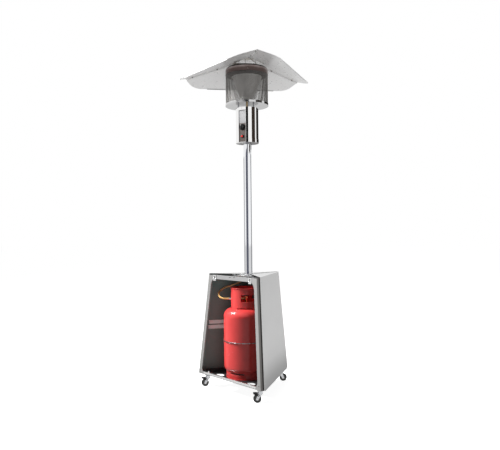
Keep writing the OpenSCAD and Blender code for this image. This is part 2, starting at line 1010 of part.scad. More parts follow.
// Knob with a grip bar
module control_knob() {
  cap_r = knob_r * 0.78;
  grip_w = knob_r * 0.4;
  color("#141414")
    control_axis(valve_z)
      difference() {
        translate([0, 0, knob_z]) {
          cylinder(r = knob_r, h = knob_h * 0.35);
          cylinder(r = cap_r, h = knob_h * 0.85);
          translate([-grip_w / 2, -cap_r, 0])
            cube([grip_w, 2 * cap_r, knob_h]);
        }
        translate([0, 0, knob_z - 1])
          cylinder(r = stem_r + run_gap, h = stem_end - knob_z + 1 + move_gap);
      }
}

module igniter_body() {
  color("#1a1a1a")
    control_axis(igniter_z)
      difference() {
        union() {
          translate([0, 0, panel_out])
            cylinder(r = bezel_r, h = bezel_h);
          translate([0, 0, panel_out - igniter_len])
            cylinder(r = neck_in, h = igniter_len + 1);
        }
        translate([0, 0, panel_out + bezel_h - 2 * button_travel - 8])
          cylinder(r = button_r + run_gap, h = 3 * button_travel + 8);
      }
}

module igniter_button() {
  color("#b02018")
    control_axis(igniter_z)
      translate([0, 0, panel_out + bezel_h - button_travel - 7])
        cylinder(r = button_r, h = 2 * button_travel + 8);
}

// Safety switch that shuts the gas off when the heater tips over
module tilt_switch() {
  color("#2a2a2a")
    head_frame()
      translate([house_hole_r + 6, 4, house_z + house_floor_t])
        cube([tilt_w, tilt_d, tilt_h]);
}

// Pilot burner, spark electrode and thermocouple on one bracket
module pilot_burner() {
  color("#9c9c98")
    head_frame()
      translate([0, -pilot_out, tray_top_z]) {
        translate([-pilot_w / 2, -pilot_d / 2, 0])
          cube([pilot_w, pilot_d, pilot_h]);
        translate([-pilot_w / 4, 0, pilot_h - 1])
          cylinder(r = 3, h = flame_h);
        translate([pilot_w / 4, 0, pilot_h - 1])
          cylinder(r = spark_r, h = 2 * flame_h);
      }
}

module burner_tray() {
  color("#d9dbdd")
    difference() {
      translate([0, 0, tray_z])
        cylinder(r = tray_r, h = tray_t + tray_rim);
      translate([0, 0, tray_top_z])
        cylinder(r = tray_r - head_t, h = tray_rim + 1);
      translate([0, 0, tray_z - 1])
        cylinder(r = pipe_r + 1, h = tray_t + 2);
    }
}

module housing_standoffs() {
  color("#8a8b8c")
    for (c = CORNERS)
      rotate(c)
        translate([standoff_ring, 0, house_top_z])
          cylinder(r = standoff_r, h = tray_gap);
}

// Burner cup with slots, and the flame cone that stands on it
module burner_head() {
  color("#b9b2a6")
    difference() {
      rotate_extrude()
        polygon([
          [pipe_r + 1, cup_z], [cup_r, cup_z], [cup_r, cup_z + cup_h],
          [cone_r, cup_z + cup_h + cone_h], [cone_r - cup_t, cup_z + cup_h + cone_h],
          [cup_r - cup_t, cup_z + cup_h + cup_t], [cup_r / 2, cup_z + cup_h + cup_t],
          [cup_r / 2, cup_z + cup_h], [cup_r - cup_t, cup_z + cup_h - cup_t],
          [cup_r - cup_t, cup_z + cup_t], [pipe_r + 1, cup_z + cup_t]
        ]);
      for (k = [0:vent_slots - 1])
        rotate([0, 0, k * 360 / vent_slots])
          translate([0, -vent_slot_w / 2, cup_z + cup_h * 0.35])
            cube([cup_r + 2, vent_slot_w, cup_h * 0.4]);
    }
}

module injector_tube() {
  z = valve_z + boss_half;
  color("#c9a24a")
    translate([0, 0, z])
      pipe(pipe_r, cup_z + cup_h / 3 - z);
}

module emitter_screen() {
  color("#8f8a84")
    translate([0, 0, tray_top_z])
      ring(screen_r, screen_t, screen_h);
}

// Lid of the emitter with a round shoulder
module cap_2d(r, top) {
  translate([0, cap_skirt_z])
    square([r, top - cap_round - cap_skirt_z]);
  translate([0, top - cap_round - 1])
    square([r - cap_round, cap_round + 1]);
  translate([r - cap_round, top - cap_round])
    circle(cap_round);
}

module emitter_cap() {
  color("#b5a98f")
    rotate_extrude()
      intersection() {
        difference() {
          cap_2d(cap_out, cap_top_z);
          translate([0, -head_t])
            cap_2d(cap_in, cap_top_z);
        }
        translate([0, cap_skirt_z])
          square([cap_out, cap_top_z]);
      }
}

// Frame on a reflector plane: y points up the slope, z out of it
module refl_frame(phi) {
  rotate([0, 0, phi + 90])
    translate([0, 0, apex_z])
      rotate([refl_slope, 0, 0])
        children();
}

// Outline of one panel by its plan sizes, stretched along the slope
module panel_2d() {
  k = slope_k;
  seam_u = refl_corner * cos(60);
  seam_v = refl_corner * sin(60);
  inner = [refl_inner * tan(60) - sheet_half_gap / cos(60), -refl_inner * k];
  seam_end = [seam_v - sheet_half_gap / cos(60), -seam_u * k];
  vertex = [outer_half, -refl_edge * k];
  up = unit(seam_end - vertex);
  back = refl_round * tan(acos(up[0]) / 2);
  on_edge = vertex - [back, 0];
  on_corner = vertex + back * up;
  centre = on_edge + [0, refl_round];
  polygon([
    [-inner[0], inner[1]], [-seam_end[0], seam_end[1]], [-on_corner[0], on_corner[1]],
    [-on_edge[0], on_edge[1]], on_edge, on_corner, seam_end, inner
  ]);
  for (s = [0, 1])
    mirror([s, 0])
      intersection() {
        translate(centre)
          circle(refl_round);
        polygon([on_edge, vertex, on_corner, centre]);
      }
}

// Flanges folded down along both seams of a panel
module seam_flange(seam, side) {
  r0 = refl_inner * 2 + 6;
  r1 = refl_corner - 6;
  y = side > 0 ? seam_half_gap : -seam_half_gap - refl_t;
  rotate([0, 0, seam])
    translate([0, y + refl_t, 0])
      rotate([90, 0, 0])
        linear_extrude(refl_t)
          difference() {
            polygon([
              [r0, apex_z - r0 * seam_drop - refl_t / 2],
              [r0, apex_z - r0 * seam_drop - refl_flange],
              [r1, apex_z - r1 * seam_drop - refl_flange],
              [r1, apex_z - r1 * seam_drop - refl_t / 2]
            ]);
            for (r = [seam_bolt_a, seam_bolt_b])
              translate([r, apex_z - r * seam_drop - refl_flange / 2])
                circle(seam_bolt_r + hole_gap);
          }
}

module reflector_panel(phi) {
  lip_len = 2 * (outer_half - refl_round);
  difference() {
    union() {
      refl_frame(phi)
        translate([0, 0, -refl_t])
          linear_extrude(refl_t)
            panel_2d();
      seam_flange(phi + 60, -1);
      seam_flange(phi - 60, 1);
      refl_frame(phi)
        translate([-lip_len / 2, -refl_edge * slope_k, -refl_lip])
          cube([lip_len, refl_t, refl_lip - merge * refl_t]);
    }
    stud_holes();
  }
}

module stud_holes() {
  for (phi = REFL_FACES)
    rotate([0, 0, phi])
      translate([stud_ring, 0, cap_top_z])
        cylinder(r = stud_r + hole_gap, h = apex_up + 20);
}

module reflector_panel_front() {
  color("#c9cacb")
    reflector_panel(REFL_FACES[0]);
}

module reflector_panel_right() {
  color("#c9cacb")
    reflector_panel(REFL_FACES[1]);
}

module reflector_panel_back() {
  color("#c9cacb")
    reflector_panel(REFL_FACES[2]);
}

// Cap over the reflector's centre opening
module reflector_hub() {
  top_z = under_refl(hub_flat) + (refl_t + fit_gap) * slope_k;
  color("#d4d5d6")
    difference() {
      union() {
        for (phi = REFL_FACES)
          refl_frame(phi)
            translate([0, 0, fit_gap])
              linear_extrude(refl_t)
                polygon([
                  [-hub_flat * tan(60), -hub_flat * slope_k],
                  [-hub_edge * tan(60), -hub_edge * slope_k],
                  [hub_edge * tan(60), -hub_edge * slope_k],
                  [hub_flat * tan(60), -hub_flat * slope_k]
                ]);
        rotate([0, 0, refl_turn])
          translate([0, 0, top_z - refl_t])
            linear_extrude(refl_t)
              polygon(tri_points(hub_flat + 2, 2 * hub_flat));
        for (seam = REFL_SEAMS)
          hub_ridge(seam);
      }
      stud_holes();
    }
}

// Narrow strip that closes the ridge between two sides of the hub
module hub_ridge(seam) {
  r0 = 2 * hub_flat - 4;
  r1 = 2 * hub_edge - 2;
  top = (refl_t + fit_gap) * slope_k;
  rotate([0, 0, seam])
    translate([0, 0.75, 0])
      rotate([90, 0, 0])
        linear_extrude(1.5)
          polygon([
            [r0, apex_z - r0 * seam_drop + top - 0.3],
            [r1, apex_z - r1 * seam_drop + top - 0.3],
            [r1, apex_z - r1 * seam_drop + top - refl_t],
            [r0, apex_z - r0 * seam_drop + top - refl_t]
          ]);
}

module reflector_studs() {
  color("#b9bbbd")
    for (phi = REFL_FACES)
      rotate([0, 0, phi])
        translate([stud_ring, 0, cap_top_z]) {
          cylinder(r = stud_foot_r, h = stud_foot_h);
          cylinder(r = stud_r, h = nut_z + nut_h + 4 - cap_top_z);
        }
}

// Wing nuts that hold the reflector down
module wing_nuts() {
  color("#cfd1d3")
    for (phi = REFL_FACES)
      rotate([0, 0, phi])
        translate([stud_ring, 0, nut_z])
          difference() {
            union() {
              cylinder(r = nut_r, h = nut_h);
              for (s = [-1, 1])
                translate([0, s * (nut_r + wing_r - 1), nut_h])
                  rotate([0, 90, 0])
                    cylinder(r = wing_r, h = 2, center = true);
            }
            translate([0, 0, -1])
              cylinder(r = stud_r + run_gap, h = nut_h + 2);
          }
}

// Seam bolts, screws round the cap and the access cover's screw
module head_screws() {
  color("#9a9c9e") {
    for (seam = REFL_SEAMS, r = [seam_bolt_a, seam_bolt_b])
      rotate([0, 0, seam])
        translate([r, 0, apex_z - r * seam_drop - refl_flange / 2])
          rotate([90, 0, 0]) {
            translate([0, 0, -seam_half_gap - refl_t - seam_nut_h])
              cylinder(r = seam_bolt_r, h = 2 * (seam_half_gap + refl_t + seam_nut_h));
            for (s = [-1, 1])
              translate([0, 0, s * (seam_half_gap + refl_t + seam_nut_h / 2)])
                cylinder(r = screw_r, h = seam_nut_h, center = true, $fn = 6);
          }
    for (k = [0:cup_screws - 1])
      rotate([0, 0, head_turn + k * 360 / cup_screws])
        translate([cap_out, 0, cap_skirt_z + cap_lap / 2])
          rotate([0, 90, 0])
            screw_head();
    rotate([0, 0, cover_to - 8])
      translate([house_r + fit_gap + head_t, 0, house_z + cover_h / 2])
        rotate([0, 90, 0])
          screw_head();
  }
}

// Half section of the cylinder's body, taken in by a wall
module bottle_2d(inset) {
  r = cyl_r - inset;
  low = cyl_round_low - inset;
  top = cyl_round_top - inset;
  z0 = cyl_z + inset;
  z1 = cyl_top_z - inset;
  translate([0, z0 + low])
    square([r, z1 - z0 - low - top]);
  translate([0, z0])
    square([r - low, low + 1]);
  translate([0, z1 - top - 1])
    square([r - top, top + 1]);
  translate([r - low, z0 + low])
    circle(low);
  translate([r - top, z1 - top])
    circle(top);
}

// Steel cylinder with its foot ring, welded into one piece
module gas_cylinder() {
  low = cyl_round_low - cyl_wall;
  on_dome = max(0, foot_r - cyl_r + cyl_round_low);
  color("#d3222a")
    translate([cyl_x, cyl_y, 0]) {
      difference() {
        rotate_extrude()
          intersection() {
            difference() {
              union() {
                bottle_2d(0);
                translate([0, cyl_top_z - 1])
                  square([neck_r, neck_h + 1]);
              }
              bottle_2d(cyl_wall);
              translate([0, cyl_top_z - cyl_wall - 2])
                square([neck_bore, neck_h + cyl_wall + 4]);
            }
            square([2 * cyl_r, cyl_top_z + neck_h]);
          }
        translate([0, 0, cyl_top_z])
          cylinder(r = neck_bore, h = neck_h + 1);
      }
      difference() {
        translate([0, 0, floor_top_z])
          ring(foot_r, ring_wall, foot_h + low - sqrt(pow(low, 2) - pow(on_dome, 2)));
        for (k = [0:2]) {
          rotate([0, 0, drain_from + k * 120 - drain_angle / 2])
            rotate_extrude(angle = drain_angle)
              translate([foot_r - 3 * ring_wall, cyl_z - 2])
                square([6 * ring_wall, drain_h]);
          rotate([0, 0, drain_from + k * 120 - foot_hole_step])
            translate([foot_r, 0, floor_top_z + foot_hole_up])
              rotate([0, 90, 0])
                cylinder(r = foot_hole_r, h = 4 * ring_wall, center = true);
        }
      }
    }
}

// Guard collar with a rolled rim and three hand holes
module cylinder_collar() {
  on_shoulder = max(0, collar_r - cyl_r + cyl_round_top);
  z0 = cyl_top_z - cyl_round_top + sqrt(pow(cyl_round_top, 2) - pow(on_shoulder, 2));
  color("#d3222a")
    translate([cyl_x, cyl_y, 0])
      difference() {
        union() {
          translate([0, 0, z0 + fit_gap])
            ring(collar_r, ring_wall, collar_top_z - z0 - fit_gap - rim_r);
          translate([0, 0, collar_top_z - rim_r])
            rotate_extrude()
              translate([collar_r - ring_wall / 2, 0])
                circle(rim_r, $fn = 32);
        }
        for (k = [0:2]) {
          rotate([0, 0, hand_from + k * 120 - hand_angle / 2])
            rotate_extrude(angle = hand_angle)
              translate([collar_r - 3 * ring_wall, cyl_top_z + hand_up])
                square([6 * ring_wall, hand_h]);
          rotate([0, 0, hand_from + k * 120 - hand_angle * 0.8])
            rotate_extrude(angle = hand_angle * 1.6)
              translate([collar_r - 3 * ring_wall, cyl_top_z - 5])
                square([6 * ring_wall, collar_gap_h + 5]);
        }
      }
}

// Frame at the valve's outlet: x runs out of the cylinder's axis
module outlet_frame() {
  translate([cyl_x, cyl_y, outlet_z])
    rotate([0, 0, outlet_dir])
      children();
}

// Brass valve screwed into the cylinder's neck
module cylinder_valve() {
  color("#b5893a") {
    translate([cyl_x, cyl_y, cyl_top_z - cyl_wall])
      cylinder(r = neck_bore - fit_gap, h = neck_h + cyl_wall + 2);
    translate([cyl_x, cyl_y, cyl_top_z + neck_h + fit_gap])
      cylinder(r = valve_body_r + 4, h = neck_nut_h, $fn = 6);
    translate([cyl_x, cyl_y, cyl_top_z + neck_h + 4])
      cylinder(r = valve_body_r, h = handwheel_z - cyl_top_z - neck_h - 4 - move_gap);
    translate([cyl_x, cyl_y, handwheel_z - 1])
      cylinder(r = spindle_r, h = handwheel_h - 3);
    outlet_frame()
      rotate([0, 90, 0])
        cylinder(r = outlet_r, h = outlet_len);
  }
}

module valve_handwheel() {
  lobes = 6;
  disc_r = handwheel_r * 0.86;
  lobe_r = handwheel_r * 0.22;
  color("#1d1d1f")
    translate([cyl_x, cyl_y, handwheel_z])
      difference() {
        union() {
          cylinder(r = disc_r, h = handwheel_h);
          for (k = [0:lobes - 1])
            rotate([0, 0, k * 360 / lobes])
              translate([handwheel_r - lobe_r, 0, 0])
                cylinder(r = lobe_r, h = handwheel_h);
        }
        translate([0, 0, -1])
          cylinder(r = spindle_r + run_gap, h = handwheel_h - 3 + 0.3);
      }
}

// Regulator with its union nut, bonnet and hose fitting
module regulator() {
  x0 = outlet_len + fit_gap;
  color("#8f9194")
    outlet_frame() {
      translate([x0, 0, 0])
        rotate([0, 90, 0])
          cylinder(r = outlet_r + 5, h = nut_len, $fn = 6);
      translate([x0 + nut_len - 1, 0, 0])
        rotate([0, 90, 0])
          cylinder(r = outlet_r, h = ferrule_end - x0 - nut_len - hose_ferrule + 6);
      translate([reg_at + fit_gap, 0, -reg_h / 2])
        cylinder(r = regulator_r, h = reg_h);
      translate([reg_at + fit_gap, 0, reg_h / 2 - 1])
        cylinder(r = bonnet_r, h = bonnet_h);
      translate([ferrule_end - hose_ferrule, 0, 0])
        rotate([0, 90, 0])
          cylinder(r = hose_d / 2 + 1.5, h = hose_ferrule - fit_gap);
    }
}

// Unit vectors along the hose, and a frame carried from ring to ring
function unit(v) = v / norm(v);
function along(i) = i == 0
  ? unit([cos(outlet_dir), sin(outlet_dir), 0])
  : i == len(HOSE) - 1 ? [0, 0, 1] : unit(HOSE[i + 1] - HOSE[i - 1]);
function carry(v, t) = unit(v - (v * t) * t);
function side_at(i) = i == 0 ? [0, 0, 1] : carry(side_at(i - 1), along(i));
function hose_start() = [for (i = [0:len(HOSE) - 1])
  i == 0 ? hose_from() : i == len(HOSE) - 1 ? [0, 0, riser_z] : HOSE[i]];
function hose_from() = [
  cyl_x + ferrule_end * cos(outlet_dir), cyl_y + ferrule_end * sin(outlet_dir), outlet_z
];

module gas_hose() {
  path = hose_start();
  n = len(path);
  points = [
    for (i = [0:n - 1])
      let(u = side_at(i), w = cross(along(i), u))
        for (k = [0:hose_sides - 1])
          let(a = k * 360 / hose_sides)
            path[i] + hose_d / 2 * (cos(a) * u + sin(a) * w)
  ];
  sides = [
    for (i = [0:n - 2], k = [0:hose_sides - 1])
      let(m = (k + 1) % hose_sides, a = i * hose_sides, b = a + hose_sides)
        [a + k, a + m, b + m, b + k]
  ];
  first = [for (k = [0:hose_sides - 1]) hose_sides - 1 - k];
  last = [for (k = [0:hose_sides - 1]) (n - 1) * hose_sides + k];
  color("#b8752f")
    polyhedron(points, [for (f = concat(sides, [first, last])) [for (k = [len(f) - 1:-1:0]) f[k]]]);
}

// Chain laid round the cylinder
module safety_chain() {
  color("#6f7174")
    translate([cyl_x, cyl_y, cyl_z + chain_up])
      rotate_extrude()
        translate([cyl_r + fit_gap + chain_d / 2, 0])
          circle(d = chain_d, $fn = 24);
}

// Local frame of a caster: +x along its trail
module caster_frame(corner, dir) {
  translate([caster_ring * cos(corner), caster_ring * sin(corner), 0])
    rotate([0, 0, dir])
      children();
}

module caster_plates() {
  low = cab_floor_z - caster_plate_t;
  color("#c6c8ca")
    for (c = CORNERS)
      rotate([0, 0, c])
        translate([caster_ring, 0, 0])
          difference() {
            union() {
              translate([-caster_plate_w / 2, -caster_plate_w / 2, low])
                cube([caster_plate_w, caster_plate_w, caster_plate_t - 0.01]);
              translate([0, 0, low - race_h])
                cylinder(r = race_r, h = race_h + 1);
              for (s = [-1, 1], k = [-1, 1])
                translate([s * (caster_plate_w / 2 - 5), k * (caster_plate_w / 2 - 5), low - screw_h])
                  cylinder(r = screw_r, h = screw_h + 1, $fn = 6);
            }
            translate([0, 0, low - race_h - 1])
              cylinder(r = king_r + run_gap, h = race_h + caster_plate_t + 2);
          }
}

// Fork with a king pin, a race and two raked legs
module caster_fork(corner, dir, brake) {
  color("#b4b7ba")
    caster_frame(corner, dir) {
      difference() {
        union() {
          translate([0, 0, crown_z])
            cylinder(r = race_r - 1, h = fork_race_top - crown_z);
          translate([0, 0, crown_z])
            cylinder(r = king_r, h = cab_floor_z - crown_z - move_gap);
          translate([-(race_r - 3), -leg_y - fork_t, crown_z])
            cube([2 * (race_r - 3), 2 * (leg_y + fork_t), fork_t]);
          for (s = [-1, 1])
            translate([0, s * (leg_y + fork_t / 2), 0])
              rotate([90, 0, 0])
                linear_extrude(fork_t, center = true)
                  leg_2d();
          if (brake)
            for (s = [-1, 1])
              translate([pivot_x, s * (leg_y + fork_t + pivot_len / 2 - merge), pivot_z])
                rotate([90, 0, 0])
                  cylinder(r = pivot_r, h = pivot_len + 2 * merge, center = true);
        }
        translate([trail, 0, wheel_r])
          rotate([90, 0, 0])
            cylinder(r = axle_r + fit_gap / 2, h = 4 * wheel_w, center = true);
      }
    }
}

module leg_2d() {
  polygon([
    [-(race_r - 3), crown_top], [race_r - 3, crown_top],
    [trail + axle_pad_r, wheel_r], [trail - axle_pad_r, wheel_r]
  ]);
  translate([trail, wheel_r])
    circle(axle_pad_r);
}

// Wheel with a round-shouldered tread and hollowed sides
module caster_wheel(corner, dir) {
  rim = wheel_r - 7;
  color("#24292b")
    caster_frame(corner, dir)
      translate([trail, 0, wheel_r])
        rotate([90, 0, 0])
          rotate_extrude()
            difference() {
              union() {
                translate([0, -wheel_w / 2])
                  square([wheel_r - shoulder, wheel_w]);
                translate([0, -wheel_w / 2 + shoulder])
                  square([wheel_r, wheel_w - 2 * shoulder]);
                for (s = [-1, 1])
                  translate([wheel_r - shoulder, s * (wheel_w / 2 - shoulder)])
                    circle(shoulder);
              }
              translate([-wheel_r, -wheel_w])
                square([wheel_r + axle_r + run_gap, 2 * wheel_w]);
              for (s = [0, 1])
                mirror([0, s])
                  translate([hub_r, wheel_w / 2 - web])
                    square([rim - hub_r, web + 1]);
            }
}

module caster_axle(corner, dir) {
  grip = leg_y + fork_t;
  color("#8b8e91")
    caster_frame(corner, dir)
      translate([trail, 0, wheel_r])
        rotate([90, 0, 0]) {
          cylinder(r = axle_r, h = 2 * grip, center = true);
          for (s = [-1, 1])
            translate([0, 0, s * (grip + axle_head_h / 2)])
              cylinder(r = axle_head_r, h = axle_head_h, center = true, $fn = s > 0 ? 64 : 6);
        }
}

// Brake pedal that straddles the fork
module brake_lever(corner, dir) {
  y0 = leg_y + fork_t + move_gap;
  up = 9;
  color("#141516")
    caster_frame(corner, dir)
      difference() {
        union() {
          for (s = [-1, 1])
            translate([0, s * (y0 + lever_t / 2), 0])
              rotate([90, 0, 0])
                linear_extrude(lever_t, center = true) {
                  translate([pivot_x, pivot_z])
                    circle(pivot_r + 3);
                  polygon([
                    [pivot_x - 3, pivot_z + pivot_r + 2], [pivot_x + 2, pivot_z - pivot_r - 3],
                    [lever_reach, pivot_z + up], [lever_reach, pivot_z + up + 4],
                    [trail + 4, pivot_z + up + 4]
                  ]);
                }
          translate([trail + 4, -y0 - lever_t, pivot_z + up + 1])
            cube([lever_reach - trail - 4, 2 * (y0 + lever_t), 3]);
        }
        translate([pivot_x, 0, pivot_z])
          rotate([90, 0, 0])
            cylinder(r = pivot_r + run_gap, h = 4 * wheel_w, center = true);
      }
}

module caster_fork_left() { caster_fork(corner_left, trail_left, true); }
module caster_fork_right() { caster_fork(corner_right, trail_right, true); }
module caster_fork_back() { caster_fork(corner_back, trail_back, false); }
module caster_wheel_left() { caster_wheel(corner_left, trail_left); }
module caster_wheel_right() { caster_wheel(corner_right, trail_right); }
module caster_wheel_back() { caster_wheel(corner_back, trail_back); }
module caster_axle_left() { caster_axle(corner_left, trail_left); }
module caster_axle_right() { caster_axle(corner_right, trail_right); }
module caster_axle_back() { caster_axle(corner_back, trail_back); }
module brake_lever_left() { brake_lever(corner_left, trail_left); }
module brake_lever_right() { brake_lever(corner_right, trail_right); }

base_plate();
lower_front_rail();
left_panel();
right_panel();
front_post_left();
front_post_right();
back_post();
upper_front_rail();
door_hooks();
wall_bars();
cabinet_screws();
top_spider();
pole_mount_plate();
pole_flange();
pole_bolts();
pole();
riser_pipe();
housing_bottom_plate();
control_housing();
access_cover();
control_panel();
gas_valve();
valve_stem();
control_knob();
igniter_body();
igniter_button();
tilt_switch();
pilot_burner();
burner_tray();
housing_standoffs();
burner_head();
injector_tube();
emitter_screen();
emitter_cap();
head_screws();
reflector_studs();
reflector_hub();
reflector_panel_front();
reflector_panel_right();
reflector_panel_back();
wing_nuts();
gas_cylinder();
cylinder_collar();
cylinder_valve();
valve_handwheel();
regulator();
gas_hose();
safety_chain();
caster_plates();
caster_fork_left();
caster_fork_right();
caster_fork_back();
caster_wheel_left();
caster_wheel_right();
caster_wheel_back();
caster_axle_left();
caster_axle_right();
caster_axle_back();
brake_lever_left();
brake_lever_right();
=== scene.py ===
import json
import math

import bmesh
import bpy
from mathutils import Matrix, Vector


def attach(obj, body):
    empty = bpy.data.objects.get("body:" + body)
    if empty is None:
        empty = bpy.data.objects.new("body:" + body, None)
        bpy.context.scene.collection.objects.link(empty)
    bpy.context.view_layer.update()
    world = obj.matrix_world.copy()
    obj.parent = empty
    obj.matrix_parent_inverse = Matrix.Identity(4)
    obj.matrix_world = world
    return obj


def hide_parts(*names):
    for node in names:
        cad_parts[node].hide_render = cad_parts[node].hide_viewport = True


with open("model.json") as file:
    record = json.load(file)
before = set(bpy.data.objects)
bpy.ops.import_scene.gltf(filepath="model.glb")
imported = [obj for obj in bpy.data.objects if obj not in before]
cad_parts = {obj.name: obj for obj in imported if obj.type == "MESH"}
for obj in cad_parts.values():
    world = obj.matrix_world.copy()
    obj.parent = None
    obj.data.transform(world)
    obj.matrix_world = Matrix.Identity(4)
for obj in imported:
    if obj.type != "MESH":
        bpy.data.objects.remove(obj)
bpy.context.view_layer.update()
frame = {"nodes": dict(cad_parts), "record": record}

MM = 0.001
TAU = 2 * math.pi
UP = Vector((0, 0, 1))

# Sizes that the frame shares with these pieces, in metres and degrees.
# Gas cylinder: axis, radius, foot and top of the shell, collar and the three hand holes in it
CYL = Vector((-0.0173, -0.010, 0))
CYL_R, CYL_Z, CYL_TOP = 0.148, 0.125, 0.540
COLLAR_R = 0.098
HAND_FROM, HAND_ANGLE, HAND_UP, HAND_H = -34.7, 55, 0.046, 0.048

# Outlet of the cylinder's valve, and the hose
OUTLET_Z, OUTLET_DIR = 0.598, -139.5
HOSE_D = 0.0115

# Control housing, its window and panel, and the emitter screen and cap over it
HOUSE_R, HOUSE_Z, HEAD_TURN = 0.0755, 1.6295, 20
PANEL_OUT, WINDOW_HALF = 0.066, 20.6
KNOB_UP, KNOB_TRAVEL, IGNITER_UP = 0.100, 0.003, 0.039
TRAY_TOP, SCREEN_R, SCREEN_H = 1.879, 0.140, 0.226
CAP_SKIRT, CAP_TOP = 2.081, 2.127

# Cabinet: a three-sided frustum with cut corners, its posts, bottom rail and hook plates
CAB_Z, CAB_H = 0.087, 0.676
INR_LOW, INR_TOP = 0.188, 0.1465
FACE_TILT = math.atan((INR_LOW - INR_TOP) / CAB_H)
FACE_LEN = CAB_H / math.cos(FACE_TILT)
SHEET, CUT, POST_W, RAIL_H = 0.0012, 0.022, 0.027, 0.017
HOOK_X, HOOK_SLOT_W, HOOK_SLOT_H = 0.173, 0.004, 0.013
FRONT, LEFT_SIDE, RIGHT_SIDE = -90, 150, 30

# Casters: direction of each corner, direction in which each wheel trails, and their sizes
CORNERS = {"left": -150, "right": -30, "back": 90}
TRAILS = {"left": 240, "right": 227, "back": 40}
CASTER_RING, TRAIL, WHEEL_R, WHEEL_W = 0.296, 0.018, 0.025, 0.020


def polar(r, degrees, z=0.0):
    a = math.radians(degrees)
    return Vector((r * math.cos(a), r * math.sin(a), z))


def axes_matrix(x, y, z, at):
    """A frame with the three given axes, at a point."""
    m = Matrix.Identity(4)
    for column, axis in enumerate((x, y, z)):
        for row in range(3):
            m[row][column] = axis[row]
    m.translation = Vector(at)
    return m


def link_object(name, data):
    o = bpy.data.objects.new(name, data)
    bpy.context.scene.collection.objects.link(o)
    return o


# Camera, fitted to the photograph
def make_camera():
    azimuth, distance, height = 0.8259, 3.684, 1.0603
    yaw, pitch, roll = -0.0035, 0.0075, -0.0092
    focal_px, photo_w, sensor = 554.32, 500, 36
    a = azimuth + yaw
    fwd = Vector((-math.sin(a) * math.cos(pitch), math.cos(a) * math.cos(pitch), math.sin(pitch)))
    right = Vector((math.cos(a), math.sin(a), 0))
    up = right.cross(fwd)
    rolled_right = right * math.cos(roll) + up * math.sin(roll)
    rolled_up = up * math.cos(roll) - right * math.sin(roll)
    data = bpy.data.cameras.new("camera")
    data.sensor_width = sensor
    data.lens = focal_px * sensor / photo_w
    data.clip_end = 60
    cam = link_object("camera", data)
    at = (distance * math.sin(azimuth), -distance * math.cos(azimuth), height)
    cam.matrix_world = axes_matrix(rolled_right, rolled_up, -fwd, at)
    bpy.context.scene.camera = cam


make_camera()


